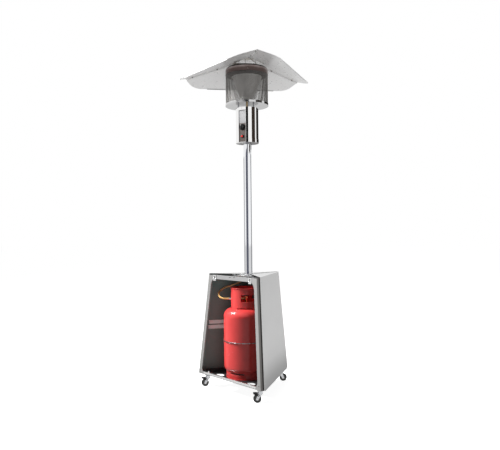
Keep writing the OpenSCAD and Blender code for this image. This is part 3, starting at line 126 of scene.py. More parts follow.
# Materials
class Mat:
    """A node material with short calls for the nodes that the finishes here need."""

    def __init__(self, name):
        self.mat = bpy.data.materials.new(name)
        self.mat.use_nodes = True
        self.tree = self.mat.node_tree
        self.bsdf = self.tree.nodes["Principled BSDF"]
        self.coord = self.node("ShaderNodeTexCoord").outputs["Object"]

    def node(self, kind, **values):
        n = self.tree.nodes.new(kind)
        for k, v in values.items():
            setattr(n, k, v)
        return n

    def link(self, a, b):
        self.tree.links.new(a, b)

    def set(self, **values):
        for k, v in values.items():
            self.bsdf.inputs[k.replace("_", " ")].default_value = v
        return self

    def noise(self, scale, stretch=(1, 1, 1), detail=4, rough=0.55):
        m = self.node("ShaderNodeMapping")
        m.inputs["Scale"].default_value = stretch
        self.link(self.coord, m.inputs["Vector"])
        n = self.node("ShaderNodeTexNoise")
        n.inputs["Scale"].default_value = scale
        n.inputs["Detail"].default_value = detail
        n.inputs["Roughness"].default_value = rough
        self.link(m.outputs["Vector"], n.inputs["Vector"])
        return n.outputs["Fac"]

    def ramp(self, fac, stops):
        r = self.node("ShaderNodeValToRGB")
        while len(r.color_ramp.elements) < len(stops):
            r.color_ramp.elements.new(0.5)
        for e, (pos, colour) in zip(r.color_ramp.elements, stops):
            e.position = pos
            e.color = (*colour, 1)
        self.link(fac, r.inputs["Fac"])
        return r.outputs["Color"]

    def span(self, fac, low, high, to_low, to_high):
        n = self.node("ShaderNodeMapRange")
        for i, v in zip((1, 2, 3, 4), (low, high, to_low, to_high)):
            n.inputs[i].default_value = v
        self.link(fac, n.inputs[0])
        return n.outputs[0]

    def maths(self, op, a, b=None):
        n = self.node("ShaderNodeMath", operation=op)
        for i, v in enumerate((a, b)):
            if v is None:
                continue
            if isinstance(v, (int, float)):
                n.inputs[i].default_value = v
            else:
                self.link(v, n.inputs[i])
        return n.outputs[0]

    def add(self, a, b):
        return self.maths("ADD", a, b)

    def times(self, a, b):
        return self.maths("MULTIPLY", a, b)

    def mix(self, fac, a, b, blend="MIX"):
        n = self.node("ShaderNodeMix", data_type="RGBA", blend_type=blend)
        for socket, v in ((n.inputs[0], fac), (n.inputs[6], a), (n.inputs[7], b)):
            if isinstance(v, (int, float)):
                socket.default_value = v
            elif isinstance(v, tuple):
                socket.default_value = (*v, 1)
            else:
                self.link(v, socket)
        return n.outputs[2]

    def along(self, direction, offset=0.0):
        """Distance along a direction in the frame, in metres, less an offset."""
        d = self.node("ShaderNodeVectorMath", operation="DOT_PRODUCT")
        self.link(self.coord, d.inputs[0])
        d.inputs[1].default_value = direction
        return self.maths("SUBTRACT", d.outputs["Value"], offset)

    def high(self):
        """Height over the floor, in metres."""
        return self.along((0, 0, 1))

    def wide(self):
        """Distance from the pole's axis, in metres."""
        x2, y2 = (self.maths("POWER", self.along(d), 2.0) for d in ((1, 0, 0), (0, 1, 0)))
        return self.maths("SQRT", self.add(x2, y2))

    def wobbled(self, value, noise, amount):
        """A value in metres that wanders by half an amount each way."""
        return self.add(value, self.times(self.span(noise, 0.2, 0.8, -0.5, 0.5), amount))

    def out(self, socket, name):
        self.link(socket, self.bsdf.inputs[name])

    def bump(self, height, strength, distance, chain=None):
        b = self.node("ShaderNodeBump")
        b.inputs["Strength"].default_value = strength
        b.inputs["Distance"].default_value = distance
        self.link(height, b.inputs["Height"])
        if chain is not None:
            self.link(chain, b.inputs["Normal"])
        self.link(b.outputs["Normal"], self.bsdf.inputs["Normal"])
        return b.outputs["Normal"]


def shade(c, k):
    return tuple(min(1.0, v * k) for v in c)


def steel(name, colour, rough, grain=(1, 1, 1), scale=60, bump=0.05, spread=0.06, cloud=4.0,
          metal=1.0):
    """Sheet steel: brushed grain, soft cloudy stains and a little unevenness in the gloss."""
    m = Mat(name).set(Metallic=metal)
    fine = m.noise(scale, grain, detail=6, rough=0.65)
    soft = m.noise(cloud, detail=5)
    tone = m.add(m.times(fine, 0.5), m.times(soft, 0.5))
    dark, light = shade(colour, 1 - 2 * spread), shade(colour, 1 + spread)
    m.out(m.ramp(tone, [(0.30, dark), (0.5, colour), (0.72, light)]), "Base Color")
    marks = m.noise(cloud * 5, detail=6, rough=0.7)
    brushed = m.span(fine, 0.3, 0.7, rough * 0.85, rough * 1.15)
    m.out(m.add(brushed, m.span(marks, 0.5, 0.8, 0.0, rough * 0.35)), "Roughness")
    if bump:
        m.bump(fine, bump, 0.0004)
    return m


def polished(name, colour, rough, wave, grain=(1, 1, 0.02)):
    """Polished tube or sheet, with the slow waviness of thin rolled steel."""
    m = Mat(name).set(Metallic=1.0)
    fine = m.noise(140, grain, detail=6)
    slow = m.noise(9, (1, 1, 0.25), detail=2)
    m.out(m.ramp(fine, [(0.3, shade(colour, 0.97)), (0.7, shade(colour, 1.02))]), "Base Color")
    smear = m.noise(14, (1, 1, 0.5), detail=6, rough=0.7)
    m.out(m.span(smear, 0.35, 0.8, rough * 0.8, rough * 1.4), "Roughness")
    b = m.bump(slow, wave, 0.002)
    m.bump(fine, 0.006, 0.0002, chain=b)
    return m


def paint(name, colour, rough, speck):
    """Sprayed paint: orange peel, faint dust and small chips of tone."""
    m = Mat(name)
    peel = m.noise(380, detail=2)
    dust = m.noise(11, detail=7, rough=0.7)
    dark, light = shade(colour, 1 - speck), shade(colour, 1 + speck)
    m.out(m.ramp(dust, [(0.25, dark), (0.55, colour), (0.85, light)]), "Base Color")
    m.out(m.span(dust, 0.3, 0.8, rough * 0.8, rough * 1.5), "Roughness")
    m.bump(peel, 0.06, 0.0003)
    return m


def plastic(name, colour, rough, grain=0.15):
    """Moulded plastic with a fine spark texture."""
    m = Mat(name).set(Specular_IOR_Level=0.3)
    spark = m.noise(900, detail=3)
    wear = m.noise(30, detail=6, rough=0.7)
    m.out(m.ramp(wear, [(0.3, shade(colour, 0.85)), (0.75, shade(colour, 1.2))]), "Base Color")
    m.out(m.span(wear, 0.3, 0.8, rough * 0.85, rough * 1.3), "Roughness")
    m.bump(spark, grain, 0.0002)
    return m


# How light a side panel's outside is at a share of its height: painted shade, darkest at the foot
# and a little darker at the top
PAINTED_SHADE_BY_HEIGHT = [
    (0.0, 0.46), (0.056, 0.52), (0.14, 0.72), (0.225, 0.90),
    (0.33, 0.97), (0.42, 1.0), (0.72, 1.0), (1.0, 0.90),
]


def panel_mat(name, phi, outer, inner, rough_out, rough_in):
    """Side panel: satin brushed outside, darker towards the foot by painted shade, and a dark
    inside that is painted shade, told apart by the depth in the sheet.
    """
    m = Mat(name)
    normal = polar(math.cos(FACE_TILT), phi, math.sin(FACE_TILT))
    foot = polar(INR_LOW, phi, CAB_Z)
    depth = m.along(normal, normal.dot(foot))
    high = m.high()
    top = CAB_Z + CAB_H
    # Near the sheet's outer face, in the wall and in the flap on top
    wall = m.span(depth, -0.0008, -0.0004, 0, 1)
    flap = m.span(high, top - 0.0009, top - 0.0003, 0, 1)
    outside = m.maths("MAXIMUM", wall, flap)
    fine = m.noise(55, (0.35, 0.35, 9), detail=6, rough=0.65)
    soft = m.noise(3.0)
    tone = m.add(m.times(fine, 0.4), m.times(soft, 0.6))
    # Painted shade: the outside is darker towards the foot and a little darker at the top
    painted_shade = m.ramp(m.span(high, CAB_Z, top, 0, 1), [(at, (v, v, v)) for at, v in PAINTED_SHADE_BY_HEIGHT])
    satin = m.ramp(tone, [(0.30, shade(outer, 0.94)), (0.55, outer), (0.80, shade(outer, 1.03))])
    # Painted shade: the inside is dark all over
    dull = m.ramp(tone, [(0.30, shade(inner, 0.8)), (0.7, shade(inner, 1.15))])
    m.out(m.mix(outside, dull, m.mix(1.0, satin, painted_shade, "MULTIPLY")), "Base Color")
    brushed = m.span(fine, 0.3, 0.7, -0.03, 0.04)
    m.out(m.add(m.span(outside, 0, 1, rough_in, rough_out), brushed), "Roughness")
    m.out(m.span(outside, 0, 1, 0.15, 1.0), "Metallic")
    m.bump(fine, 0.06, 0.0004)
    return m


def reflector_sheet():
    """Reflector: bright below with a mirror-like wiped middle, dull, dark grey and a little mottled
    on top.
    """
    base_metal, wiped_metal = 0.25, 0.95
    m = steel("reflector_sheet", (0.90, 0.895, 0.89), 0.30, scale=50, bump=0.0, spread=0.02,
              cloud=2.5, metal=base_metal)
    tone = m.bsdf.inputs["Base Color"].links[0].from_socket
    split = m.node("ShaderNodeSeparateXYZ")
    m.link(m.node("ShaderNodeTexCoord").outputs["Normal"], split.inputs[0])
    # The upward faces are the top
    above = m.span(split.outputs["Z"], 0.1, 0.4, 0, 1)
    dark_top = m.ramp(m.noise(7, detail=7, rough=0.7), [(0.3, (0.19, 0.19, 0.195)),
                                                     (0.6, (0.24, 0.24, 0.245)),
                                                     (0.8, (0.29, 0.29, 0.29))])
    m.out(m.mix(m.times(above, 0.97), tone, dark_top), "Base Color")
    ragged = m.span(m.noise(22, detail=5), 0.2, 0.8, -0.012, 0.012)
    wiped = m.span(m.add(m.wide(), ragged), 0.085, 0.125, 1, 0)
    dull = m.bsdf.inputs["Roughness"].links[0].from_socket
    m.out(m.maths("SUBTRACT", dull, m.times(wiped, 0.20)), "Roughness")
    m.out(m.span(wiped, 0, 1, base_metal, wiped_metal), "Metallic")
    return m


def post_sheet():
    """Folded corner sheet: light in front, with painted shade as two dull tones on the facet and a
    dark band behind the panel for the gap there.
    """
    m = Mat("post_sheet").set(Metallic=1.0)
    x, y, high = m.along((1, 0, 0)), m.along((0, 1, 0)), m.high()
    # Across the facet of a front corner, which looks out at 30 degrees to either side
    across = m.add(m.times(m.maths("ABSOLUTE", x), 0.5), m.times(y, 0.866))
    t = m.span(m.wobbled(across, m.noise(9, (1, 1, 0.2), detail=5), 0.0012), -0.016, 0.016, 0, 1)
    # Painted shade: the two dull tones and the dark band stand in for the shade of the step and the
    # gap between the post and the side panel
    bands = m.ramp(t, [(0.0, (0.60, 0.595, 0.585)), (0.13, (0.56, 0.555, 0.545)),
                       (0.17, (0.20, 0.195, 0.19)), (0.50, (0.20, 0.19, 0.185)),
                       (0.56, (0.045, 0.042, 0.041)), (0.84, (0.05, 0.046, 0.045)),
                       (0.90, (0.16, 0.15, 0.145))])
    fine = m.noise(40, (6, 6, 0.3), detail=6, rough=0.65)
    # Painted shade: darker towards the foot and on the left post, mixed with fine grain
    foot = m.span(high, CAB_Z, CAB_Z + 0.25, 0.80, 1.0)
    left = m.span(x, -0.05, 0.05, 0.97, 1.0)
    shade_and_grain = m.times(m.times(foot, left), m.span(fine, 0.3, 0.7, 0.94, 1.0))
    grey = m.ramp(shade_and_grain, [(0.0, (0, 0, 0)), (1.0, (1, 1, 1))])
    m.out(m.mix(1.0, bands, grey, "MULTIPLY"), "Base Color")
    m.out(m.span(fine, 0.3, 0.7, 0.30, 0.40), "Roughness")
    m.bump(fine, 0.04, 0.0004)
    return m


def red_enamel():
    """Gloss red enamel over a welded shell: slow waves, faint clouds, some dust near the foot."""
    m = Mat("red_enamel").set(Coat_Weight=0.12, Coat_Roughness=0.12, Specular_IOR_Level=0.34)
    cloud = m.noise(6, detail=6, rough=0.6)
    low = m.span(m.high(), 0.09, 0.20, 1, 0)
    base = m.ramp(cloud, [(0.3, (0.60, 0.044, 0.042)), (0.55, (0.66, 0.052, 0.050)),
                          (0.8, (0.70, 0.060, 0.058))])
    dirt = m.times(low, m.span(m.noise(40, detail=7, rough=0.7), 0.35, 0.7, 0.0, 0.5))
    m.out(m.mix(dirt, base, (0.20, 0.03, 0.025)), "Base Color")
    m.out(m.span(m.noise(16, detail=7, rough=0.7), 0.3, 0.8, 0.20, 0.30), "Roughness")
    b = m.bump(m.noise(5, detail=2), 0.05, 0.003)
    m.bump(m.noise(300, detail=2), 0.012, 0.0003, chain=b)
    return m


def tinted_cap():
    """Stainless lid with straw and brown heat tint that runs down from the shoulder."""
    m = Mat("tinted_cap").set(Metallic=1.0)
    high = m.high()
    t = m.span(m.wobbled(high, m.noise(16, detail=5), 0.012), CAP_SKIRT, CAP_TOP + 0.003, 0, 1)
    tone = m.ramp(t, [(0.0, (0.12, 0.09, 0.085)), (0.40, (0.16, 0.12, 0.11)),
                      (0.64, (0.40, 0.33, 0.32)), (0.83, (0.74, 0.70, 0.68)),
                      (1.0, (0.70, 0.64, 0.54))])
    inside = m.times(m.span(m.wide(), SCREEN_R + 0.0006, SCREEN_R + 0.0010, 1, 0),
                     m.span(high, CAP_TOP - 0.0008, CAP_TOP - 0.0003, 1, 0))
    m.out(m.mix(inside, tone, (0.035, 0.028, 0.026)), "Base Color")
    m.out(m.span(m.noise(40, (1, 1, 0.2), detail=6), 0.3, 0.8, 0.14, 0.30), "Roughness")
    m.bump(m.noise(14, (1, 1, 0.3), detail=2), 0.35, 0.003)
    return m


def control_sheet():
    """Recessed control panel: satin steel that darkens to a warm grey round the knob."""
    m = Mat("control_sheet").set(Metallic=1.0)
    low, top = 1.632, 1.842
    t = m.span(m.add(m.high(), m.times(m.noise(18), 0.010)), low, top, 0, 1)
    tone = m.ramp(t, [(0.0, (0.17, 0.15, 0.14)), (0.5, (0.20, 0.17, 0.16)),
                      (0.60, (0.24, 0.21, 0.20)), (0.64, (0.56, 0.56, 0.57)),
                      (1.0, (0.70, 0.70, 0.71))])
    m.out(tone, "Base Color")
    m.out(m.span(m.noise(80, (8, 8, 0.4), detail=6), 0.3, 0.8, 0.26, 0.40), "Roughness")
    m.bump(m.noise(80, (8, 8, 0.4), detail=5), 0.05, 0.0003)
    return m


def hose_rubber():
    """Hose with faint ribs of the braid below: orange, with painted shade turning it brown towards
    its upper end.
    """
    m = Mat("hose_rubber").set(Sheen_Weight=0.15, Sheen_Roughness=0.4)
    bloom = m.noise(26, detail=6, rough=0.65)
    orange = m.ramp(bloom, [(0.28, (0.58, 0.32, 0.09)), (0.55, (0.68, 0.41, 0.14)),
                            (0.8, (0.76, 0.50, 0.20))])
    painted_shade_brown = m.ramp(bloom, [(0.28, (0.36, 0.16, 0.06)), (0.55, (0.47, 0.23, 0.09)),
                           (0.8, (0.56, 0.32, 0.14))])
    # Painted shade: the orange rubber blends into a shaded brown copy higher up
    m.out(m.mix(m.span(m.high(), 0.612, 0.690, 0, 1), orange, painted_shade_brown), "Base Color")
    m.out(m.span(bloom, 0.3, 0.8, 0.42, 0.30), "Roughness")
    m.bump(m.noise(260, detail=3), 0.22, 0.0005)
    return m


def tyre_rubber():
    """Dusty black rubber, faintly green."""
    m = Mat("tyre_rubber")
    dust = m.noise(120, detail=7, rough=0.7)
    m.out(m.ramp(dust, [(0.3, (0.016, 0.020, 0.018)), (0.6, (0.030, 0.036, 0.034)),
                        (0.85, (0.09, 0.095, 0.09))]), "Base Color")
    m.out(m.span(dust, 0.3, 0.8, 0.40, 0.62), "Roughness")
    m.bump(m.noise(500), 0.25, 0.0003)
    return m


MATS = {
    "black_steel": paint("black_paint", (0.018, 0.018, 0.019), 0.38, speck=0.35),
    "bright_steel": steel("bright_sheet", (0.86, 0.86, 0.855), 0.26, (6, 6, 1), scale=40, bump=0.03,
                          spread=0.03),
    "rail_dull": steel("rail_sheet", (0.60, 0.60, 0.60), 0.34, (1, 6, 6), scale=40, bump=0.03,
                       spread=0.05),
    # The bars' pale, faintly cyan colour is painted light: it makes them read bright and grey
    # despite the red light that the cylinder throws on them
    "bar_dull": steel("bar_sheet", (0.76, 0.93, 0.92), 0.60, (1, 1, 12), spread=0.12, metal=0.0),
    "zinc": steel("zinc_plate", (0.74, 0.75, 0.77), 0.20, scale=90, spread=0.08, cloud=30),
    "polished_pole": polished("polished_tube", (0.86, 0.87, 0.89), 0.045, 0.012),
    "polished_stainless": polished("polished_sheet", (0.88, 0.875, 0.87), 0.045, 0.02),
    "screen_steel": steel("screen_sheet", (0.23, 0.22, 0.21), 0.40, bump=0.0, spread=0.12,
                          cloud=12),
    "burner_steel": steel("burner_sheet", (0.85, 0.83, 0.80), 0.42, (1, 1, 0.3), scale=50,
                          spread=0.10, cloud=8, metal=0.35),
    "screw_dull": steel("screw_steel", (0.26, 0.23, 0.21), 0.30, scale=90, spread=0.15, cloud=30),
    "tray_sheet": polished("tray_sheet", (0.60, 0.60, 0.60), 0.10, 0.03, (1, 1, 1)),
    "brass": steel("brass", (0.74, 0.53, 0.25), 0.26, scale=70, spread=0.10, cloud=20),
    "black_plastic": plastic("black_moulding", (0.015, 0.015, 0.016), 0.36),
    "red_plastic": plastic("red_moulding", (0.62, 0.03, 0.022), 0.28, 0.05),
    "chain_steel": steel("chain_wire", (0.36, 0.36, 0.37), 0.26, scale=30, bump=0.02, spread=0.42,
                         cloud=22),
    # The dark insides of the side panels are painted shade: the left one is tinted green against
    # the red light that the cylinder throws on it, the right one is darker still so that it throws
    # less light back on the cylinder
    "satin_left": panel_mat("left_sheet", LEFT_SIDE, (0.75, 0.75, 0.745), (0.130, 0.190, 0.178),
                            0.34, 0.50),
    "satin_right": panel_mat("right_sheet", RIGHT_SIDE, (0.75, 0.75, 0.748), (0.09, 0.095, 0.093),
                             0.36, 0.50),
    "reflector_steel": reflector_sheet(),
    "grey_steel": post_sheet(),
    "red_enamel": red_enamel(),
    "tinted_steel": tinted_cap(),
    "panel_dark": control_sheet(),
    "hose_rubber": hose_rubber(),
    "wheel_rubber": tyre_rubber(),
}
HUB = plastic("wheel_hub_grey", (0.20, 0.195, 0.185), 0.34, 0.1)
POINTER = plastic("pointer_white", (0.75, 0.75, 0.72), 0.4, 0.05)

# Nodes with a finish of their own, in place of their record slot's
OWN_FINISH = {
    "left_panel": "satin_left",
    "right_panel": "satin_right",
    "upper_front_rail": "rail_dull",
    "wall_bars": "bar_dull",
    "burner_tray": "tray_sheet",
    "head_screws": "screw_dull",
}


def dress(o, mat):
    o.data.materials.clear()
    o.data.materials.append(mat.mat)


RECORD_SLOTS = {s["node"]: s["material_slot"] for s in frame["record"]["subparts"]}
for node_name, node_object in frame["nodes"].items():
    dress(node_object, MATS[OWN_FINISH.get(node_name, RECORD_SLOTS[node_name])])


# Building helpers
def piece(name, verts, faces, mat, slot, body="root", smooth=40, hides=()):
    """A mesh piece on a body. Edges sharper than smooth degrees stay sharp."""
    mesh = bpy.data.meshes.new(name)
    mesh.from_pydata([tuple(v) for v in verts], [], faces)
    mesh.validate()
    bm = bmesh.new()
    bm.from_mesh(mesh)
    bmesh.ops.recalc_face_normals(bm, faces=bm.faces)
    bm.to_mesh(mesh)
    bm.free()
    o = link_object(name, mesh)
    dress(o, mat)
    mesh.polygons.foreach_set("use_smooth", [True] * len(mesh.polygons))
    mesh.set_sharp_from_angle(angle=math.radians(smooth))
    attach(o, body)
    if hides:
        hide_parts(*hides)
    return o


class Shape:
    """Vertices and faces gathered from several simple forms."""

    def __init__(self):
        self.verts, self.faces = [], []

    def add(self, verts, faces):
        k = len(self.verts)
        self.verts += [Vector(v) for v in verts]
        self.faces += [tuple(i + k for i in f) for f in faces]
        return self

    def spin(self, profile, matrix=Matrix.Identity(4), n=64, closed=True, wave=None):
        """Turns a profile of (radius, height) round z. closed joins its last point to its first."""
        verts, faces, m = [], [], len(profile)
        for i in range(n):
            a = TAU * i / n
            for r, z in profile:
                k = 1 + (wave(a, z) if wave else 0)
                verts.append(matrix @ Vector((r * k * math.cos(a), r * k * math.sin(a), z)))
        for i in range(n):
            j = (i + 1) % n
            for p in range(m if closed else m - 1):
                q = (p + 1) % m
                faces.append((i * m + p, j * m + p, j * m + q, i * m + q))
        return self.add(verts, faces)

    def lathe(self, profile, matrix, n):
        """Turns an open profile, and closes each end with a flat disc."""
        self.spin(profile, matrix, n, closed=False)
        m, base = len(profile), len(self.verts) - n * len(profile)
        self.faces.append(tuple(base + i * m for i in range(n)))
        self.faces.append(tuple(base + i * m + m - 1 for i in reversed(range(n))))
        return self

    def tube(self, points, r, sides=8, closed=False, up=None):
        """A round bar along points, with its frame carried from point to point."""
        pts = [Vector(p) for p in points]
        n = len(pts)
        tangents = []
        for i in range(n):
            a = pts[i - 1] if (i or closed) else pts[0]
            b = pts[(i + 1) % n] if (i < n - 1 or closed) else pts[-1]
            tangents.append((b - a).normalized())
        side = Vector(up) if up else (UP if abs(tangents[0].z) < 0.9 else Vector((1, 0, 0)))
        verts, faces = [], []
        for p, t in zip(pts, tangents):
            side = (side - side.dot(t) * t).normalized()
            w = t.cross(side)
            for k in range(sides):
                a = TAU * k / sides
                verts.append(p + r * (math.cos(a) * side + math.sin(a) * w))
        for i in range(n if closed else n - 1):
            j = (i + 1) % n
            for k in range(sides):
                q = (k + 1) % sides
                faces.append((i * sides + k, i * sides + q, j * sides + q, j * sides + k))
        if not closed:
            faces.append(tuple(reversed(range(sides))))
            faces.append(tuple((n - 1) * sides + k for k in range(sides)))
        return self.add(verts, faces)

    def box(self, size, matrix, bevel=0.0):
        bm = bmesh.new()
        bmesh.ops.create_cube(bm, size=1.0)
        bmesh.ops.scale(bm, vec=size, verts=bm.verts)
        if bevel:
            bmesh.ops.bevel(bm, geom=list(bm.edges), offset=bevel, segments=2, affect="EDGES",
                            profile=0.5)
        bm.verts.ensure_lookup_table()
        faces = [[v.index for v in f.verts] for f in bm.faces]
        self.add([matrix @ v.co for v in bm.verts], faces)
        bm.free()
        return self

    def made(self, name, mat, slot, **more):
        return piece(name, self.verts, self.faces, mat, slot, **more)


def place(at, z_axis=UP, x_axis=None):
    """A frame at a point with its z along z_axis."""
    z = Vector(z_axis).normalized()
    x = Vector(x_axis) if x_axis else Vector((1, 0, 0) if abs(z.x) < 0.9 else (0, 1, 0))
    x = (x - x.dot(z) * z).normalized()
    return axes_matrix(x, z.cross(x), z, at)


def turned(degrees, axis="Z"):
    """A rotation round an axis."""
    return Matrix.Rotation(math.radians(degrees), 4, axis)


def arc(cx, cz, r, a0, a1, n=6):
    """Points of an arc round (cx, cz) from one angle to another."""
    points = []
    for i in range(n + 1):
        a = math.radians(a0 + (a1 - a0) * i / n)
        points.append((cx + r * math.cos(a), cz + r * math.sin(a)))
    return points


def mirrored(profile):
    """A wheel's profile, and back along its other side."""
    return profile + [(r, -z) for r, z in reversed(profile)]


def face_pt(phi, x, y, z):
    """A point on a cabinet face: x along it, y up it, z out of it."""
    s, c = math.sin(FACE_TILT), math.cos(FACE_TILT)
    return turned(phi + 90) @ Vector((x, -INR_LOW + y * s - z * c, CAB_Z + y * c + z * s))


def half_at(y):
    """Half the width of a cabinet face at y up it, out to where two faces would meet."""
    return (INR_LOW - y * math.sin(FACE_TILT)) * math.tan(math.radians(60))


# Route of the gas hose, in millimetres
HOSE = [
    (-103.986, -84.037, 598), (-118, -96, 598), (-131, -107, 599), (-146, -113, 602),
    (-161, -115, 608), (-175, -112, 617), (-186, -104, 626), (-193, -93, 636),
    (-195, -80, 646), (-191, -67, 656), (-183, -55, 663), (-170, -46, 669),
    (-154, -40, 674), (-138, -33, 680), (-123, -27, 687), (-107, -20, 692),
    (-92, -13, 699), (-77, -7, 706), (-61, -5, 714), (-45, -5, 722),
    (-30, -6, 731), (-16, -6, 741), (-5, -4, 755), (0, 0, 772), (0, 0, 790),
]


def bezier_length(a, b, steps=8):
    """Length of the curve between two Bezier points."""
    length, last = 0.0, a.co.copy()
    for k in range(1, steps + 1):
        t = k / steps
        u = 1 - t
        q = (a.co * u ** 3 + a.handle_right * 3 * t * u ** 2
             + b.handle_left * 3 * t * t * u + b.co * t ** 3)
        length += (q - last).length
        last = q
    return length


def make_hose():
    pts = [Vector(p) * MM for p in HOSE]
    curve = bpy.data.curves.new("gas_hose_line", "CURVE")
    curve.dimensions = "3D"
    curve.resolution_u = 8
    curve.bevel_depth = HOSE_D / 2
    curve.bevel_resolution = 5
    curve.use_fill_caps = True
    spline = curve.splines.new("BEZIER")
    spline.bezier_points.add(len(pts) - 1)
    tangents = [polar(1, OUTLET_DIR)]
    tangents += [(after - before).normalized() for before, after in zip(pts, pts[2:])]
    tangents += [UP]
    steps = [0, *((b - a).length for a, b in zip(pts, pts[1:])), 0]
    for i, (b, p, t) in enumerate(zip(spline.bezier_points, pts, tangents)):
        b.co = p
        b.handle_left_type = b.handle_right_type = "FREE"
        b.handle_left = p - t * steps[i] / 3
        b.handle_right = p + t * steps[i + 1] / 3
    o = link_object("hose", curve)
    o.data.materials.append(MATS["hose_rubber"].mat)
    ends = zip(spline.bezier_points, spline.bezier_points[1:])
    length = sum(bezier_length(a, b) for a, b in ends)
    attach(o, "root")
    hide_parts("gas_hose")


make_hose()


# Perforated emitter screen
def make_screen():
    n, hole = 132, 0.70
    border, sheet = 0.006, 0.0009
    z0, top = TRAY_TOP, TRAY_TOP + SCREEN_H
    r = SCREEN_R - 0.0005
    w = TAU * r / n
    cell_r = w / math.sqrt(3)
    rows = int((SCREEN_H - 2 * border) / (1.5 * cell_r))
    base = z0 + border + cell_r
    verts, faces, shared = [], [], {}
    offsets = ((0, 2), (1, 1), (1, -1), (0, -2), (-1, -1), (-1, 1))

    def at(x, y):
        a = x * (w / 2) / r
        return (r * math.cos(a), r * math.sin(a), base + y * cell_r / 2)

    def corner(x, y):
        key = (x % (2 * n), y)
        if key not in shared:
            shared[key] = len(verts)
            verts.append(at(*key))
        return shared[key]

    for j in range(rows):
        for i in range(n):
            cx, cy = 2 * i + (j % 2), 3 * j
            outer = [corner(cx + dx, cy + dy) for dx, dy in offsets]
            first = len(verts)
            verts.extend(at(cx + dx * hole, cy + dy * hole) for dx, dy in offsets)
            inner = [first + k for k in range(6)]
            for k in range(6):
                q = (k + 1) % 6
                faces.append((outer[k], outer[q], inner[q], inner[k]))
    s = Shape().add(verts, faces)
    mesh = s.made("emitter_mesh", MATS["screen_steel"], slot="screen_steel", smooth=60,
                  hides=("emitter_screen",))
    solid = mesh.modifiers.new("sheet", "SOLIDIFY")
    solid.thickness = sheet
    solid.offset = 0

    # Plain bands at the foot and the top of the screen, and a seam up its back
    bands = Shape()
    half, gap, low_band, top_band = 0.0004, 0.0002, 0.0115, 0.0125
    for a, b in ((z0 + gap, z0 + low_band), (top - top_band, top - gap)):
        bands.spin([(r + half, a), (r + half, b), (r - half, b), (r - half, a)], n=n)
    seam_turn, seam_size = HEAD_TURN + 100, (SCREEN_H - 0.004, 0.010, 2 * half)
    seam = polar(r, seam_turn, z0 + SCREEN_H / 2)
    bands.box(seam_size, place(seam, polar(1, seam_turn), UP))
    bands.made("emitter_bands", MATS["screen_steel"], slot="screen_steel")


make_screen()


# Chain round the cylinder
def make_chain():
    links, wire, bend_r = 60, 0.0013, 0.0019
    z = CYL_Z + 0.205
    r = CYL_R + 0.0002 + bend_r + wire
    pitch = TAU * r / links
    half = (pitch + 2 * wire) / 2 - bend_r
    bend = [math.radians(-90 + 36 * k) for k in range(6)]
    loop = [(half + bend_r * math.cos(t), bend_r * math.sin(t)) for t in bend]
    loop += [(-x, -y) for x, y in loop]
    s = Shape()
    for k in range(links):
        t = TAU * k / links
        centre = CYL + Vector((r * math.cos(t), r * math.sin(t), z))
        along = Vector((-math.sin(t), math.cos(t), 0))
        out = Vector((math.cos(t), math.sin(t), 0))
        roll = math.radians(12 if k % 2 else -78)
        side = out * math.cos(roll) + UP * math.sin(roll)
        points = [centre + along * x + side * y for x, y in loop]
        s.tube(points, wire, 6, closed=True, up=along.cross(side))
    s.made("chain_links", MATS["chain_steel"], slot="chain_steel", smooth=80,
           hides=("safety_chain",))


make_chain()


# Casters
def make_wheel(which, matrix):
    """Tyre with a fine groove round its middle, and a hub with six ribs on each side."""
    wheel = matrix @ Matrix.Translation((TRAIL, 0, WHEEL_R)) @ turned(90, "X")
    body = f"caster_wheel_{which}"
    w, r = WHEEL_W / 2, WHEEL_R
    edge_r, groove_half, groove_floor, groove_deep = 0.005, 0.0022, 0.0012, 0.0009
    tread = [(0.0178, -w + 0.001), (0.0185, -w + 0.0002)]
    tread += arc(r - edge_r, -w + edge_r, edge_r, -90, -18)
    tread += [(r - 0.0001, -groove_half), (r - groove_deep, -groove_floor)]
    tyre = Shape().spin(mirrored(tread), wheel, 72)
    tyre.made(f"tyre_{which}", MATS["wheel_rubber"], body=body, slot="wheel_rubber", smooth=50,
              hides=(body,))
    hub = Shape()
    core = [(0.00412, -w + 0.0003), (0.0085, -w + 0.0003), (0.0105, -w + 0.0012),
            (0.0112, -w + 0.0034), (0.0165, -w + 0.0036), (0.0172, -w + 0.0012),
            (0.0177, -w + 0.0012)]
    hub.spin(mirrored(core), wheel, 72)
    rib_size, rib_r, rib_z = (0.0052, 0.0016, 0.0012), 0.0139, w - 0.0029
    for k in range(6):
        for side in (-1, 1):
            spot = wheel @ turned(60 * k) @ Matrix.Translation((rib_r, 0, side * rib_z))
            hub.box(rib_size, spot, 0.0003)
    hub.made(f"hub_{which}", HUB, body=body, slot="wheel_rubber")


def make_pedal_ribs(which, matrix):
    """Six ribs and a rolled edge on top of a brake pedal."""
    pivot_z = 0.047
    rib_half, rib_r, rib_z = 0.0115, 0.0008, pivot_z + 0.013
    edge_x, edge_half, edge_r, edge_z = TRAIL + WHEEL_R - 0.001, 0.0157, 0.0017, pivot_z + 0.0115
    pad = Shape()
    for k in range(6):
        x = TRAIL + 0.0065 + 0.0031 * k
        pad.tube([matrix @ Vector((x, y, rib_z)) for y in (-rib_half, rib_half)], rib_r, 6)
    pad.tube([matrix @ Vector((edge_x, y, edge_z)) for y in (-edge_half, edge_half)], edge_r, 10)
    pad.made(f"pedal_ribs_{which}", MATS["black_plastic"], body=f"brake_lever_{which}",
             slot="black_plastic")


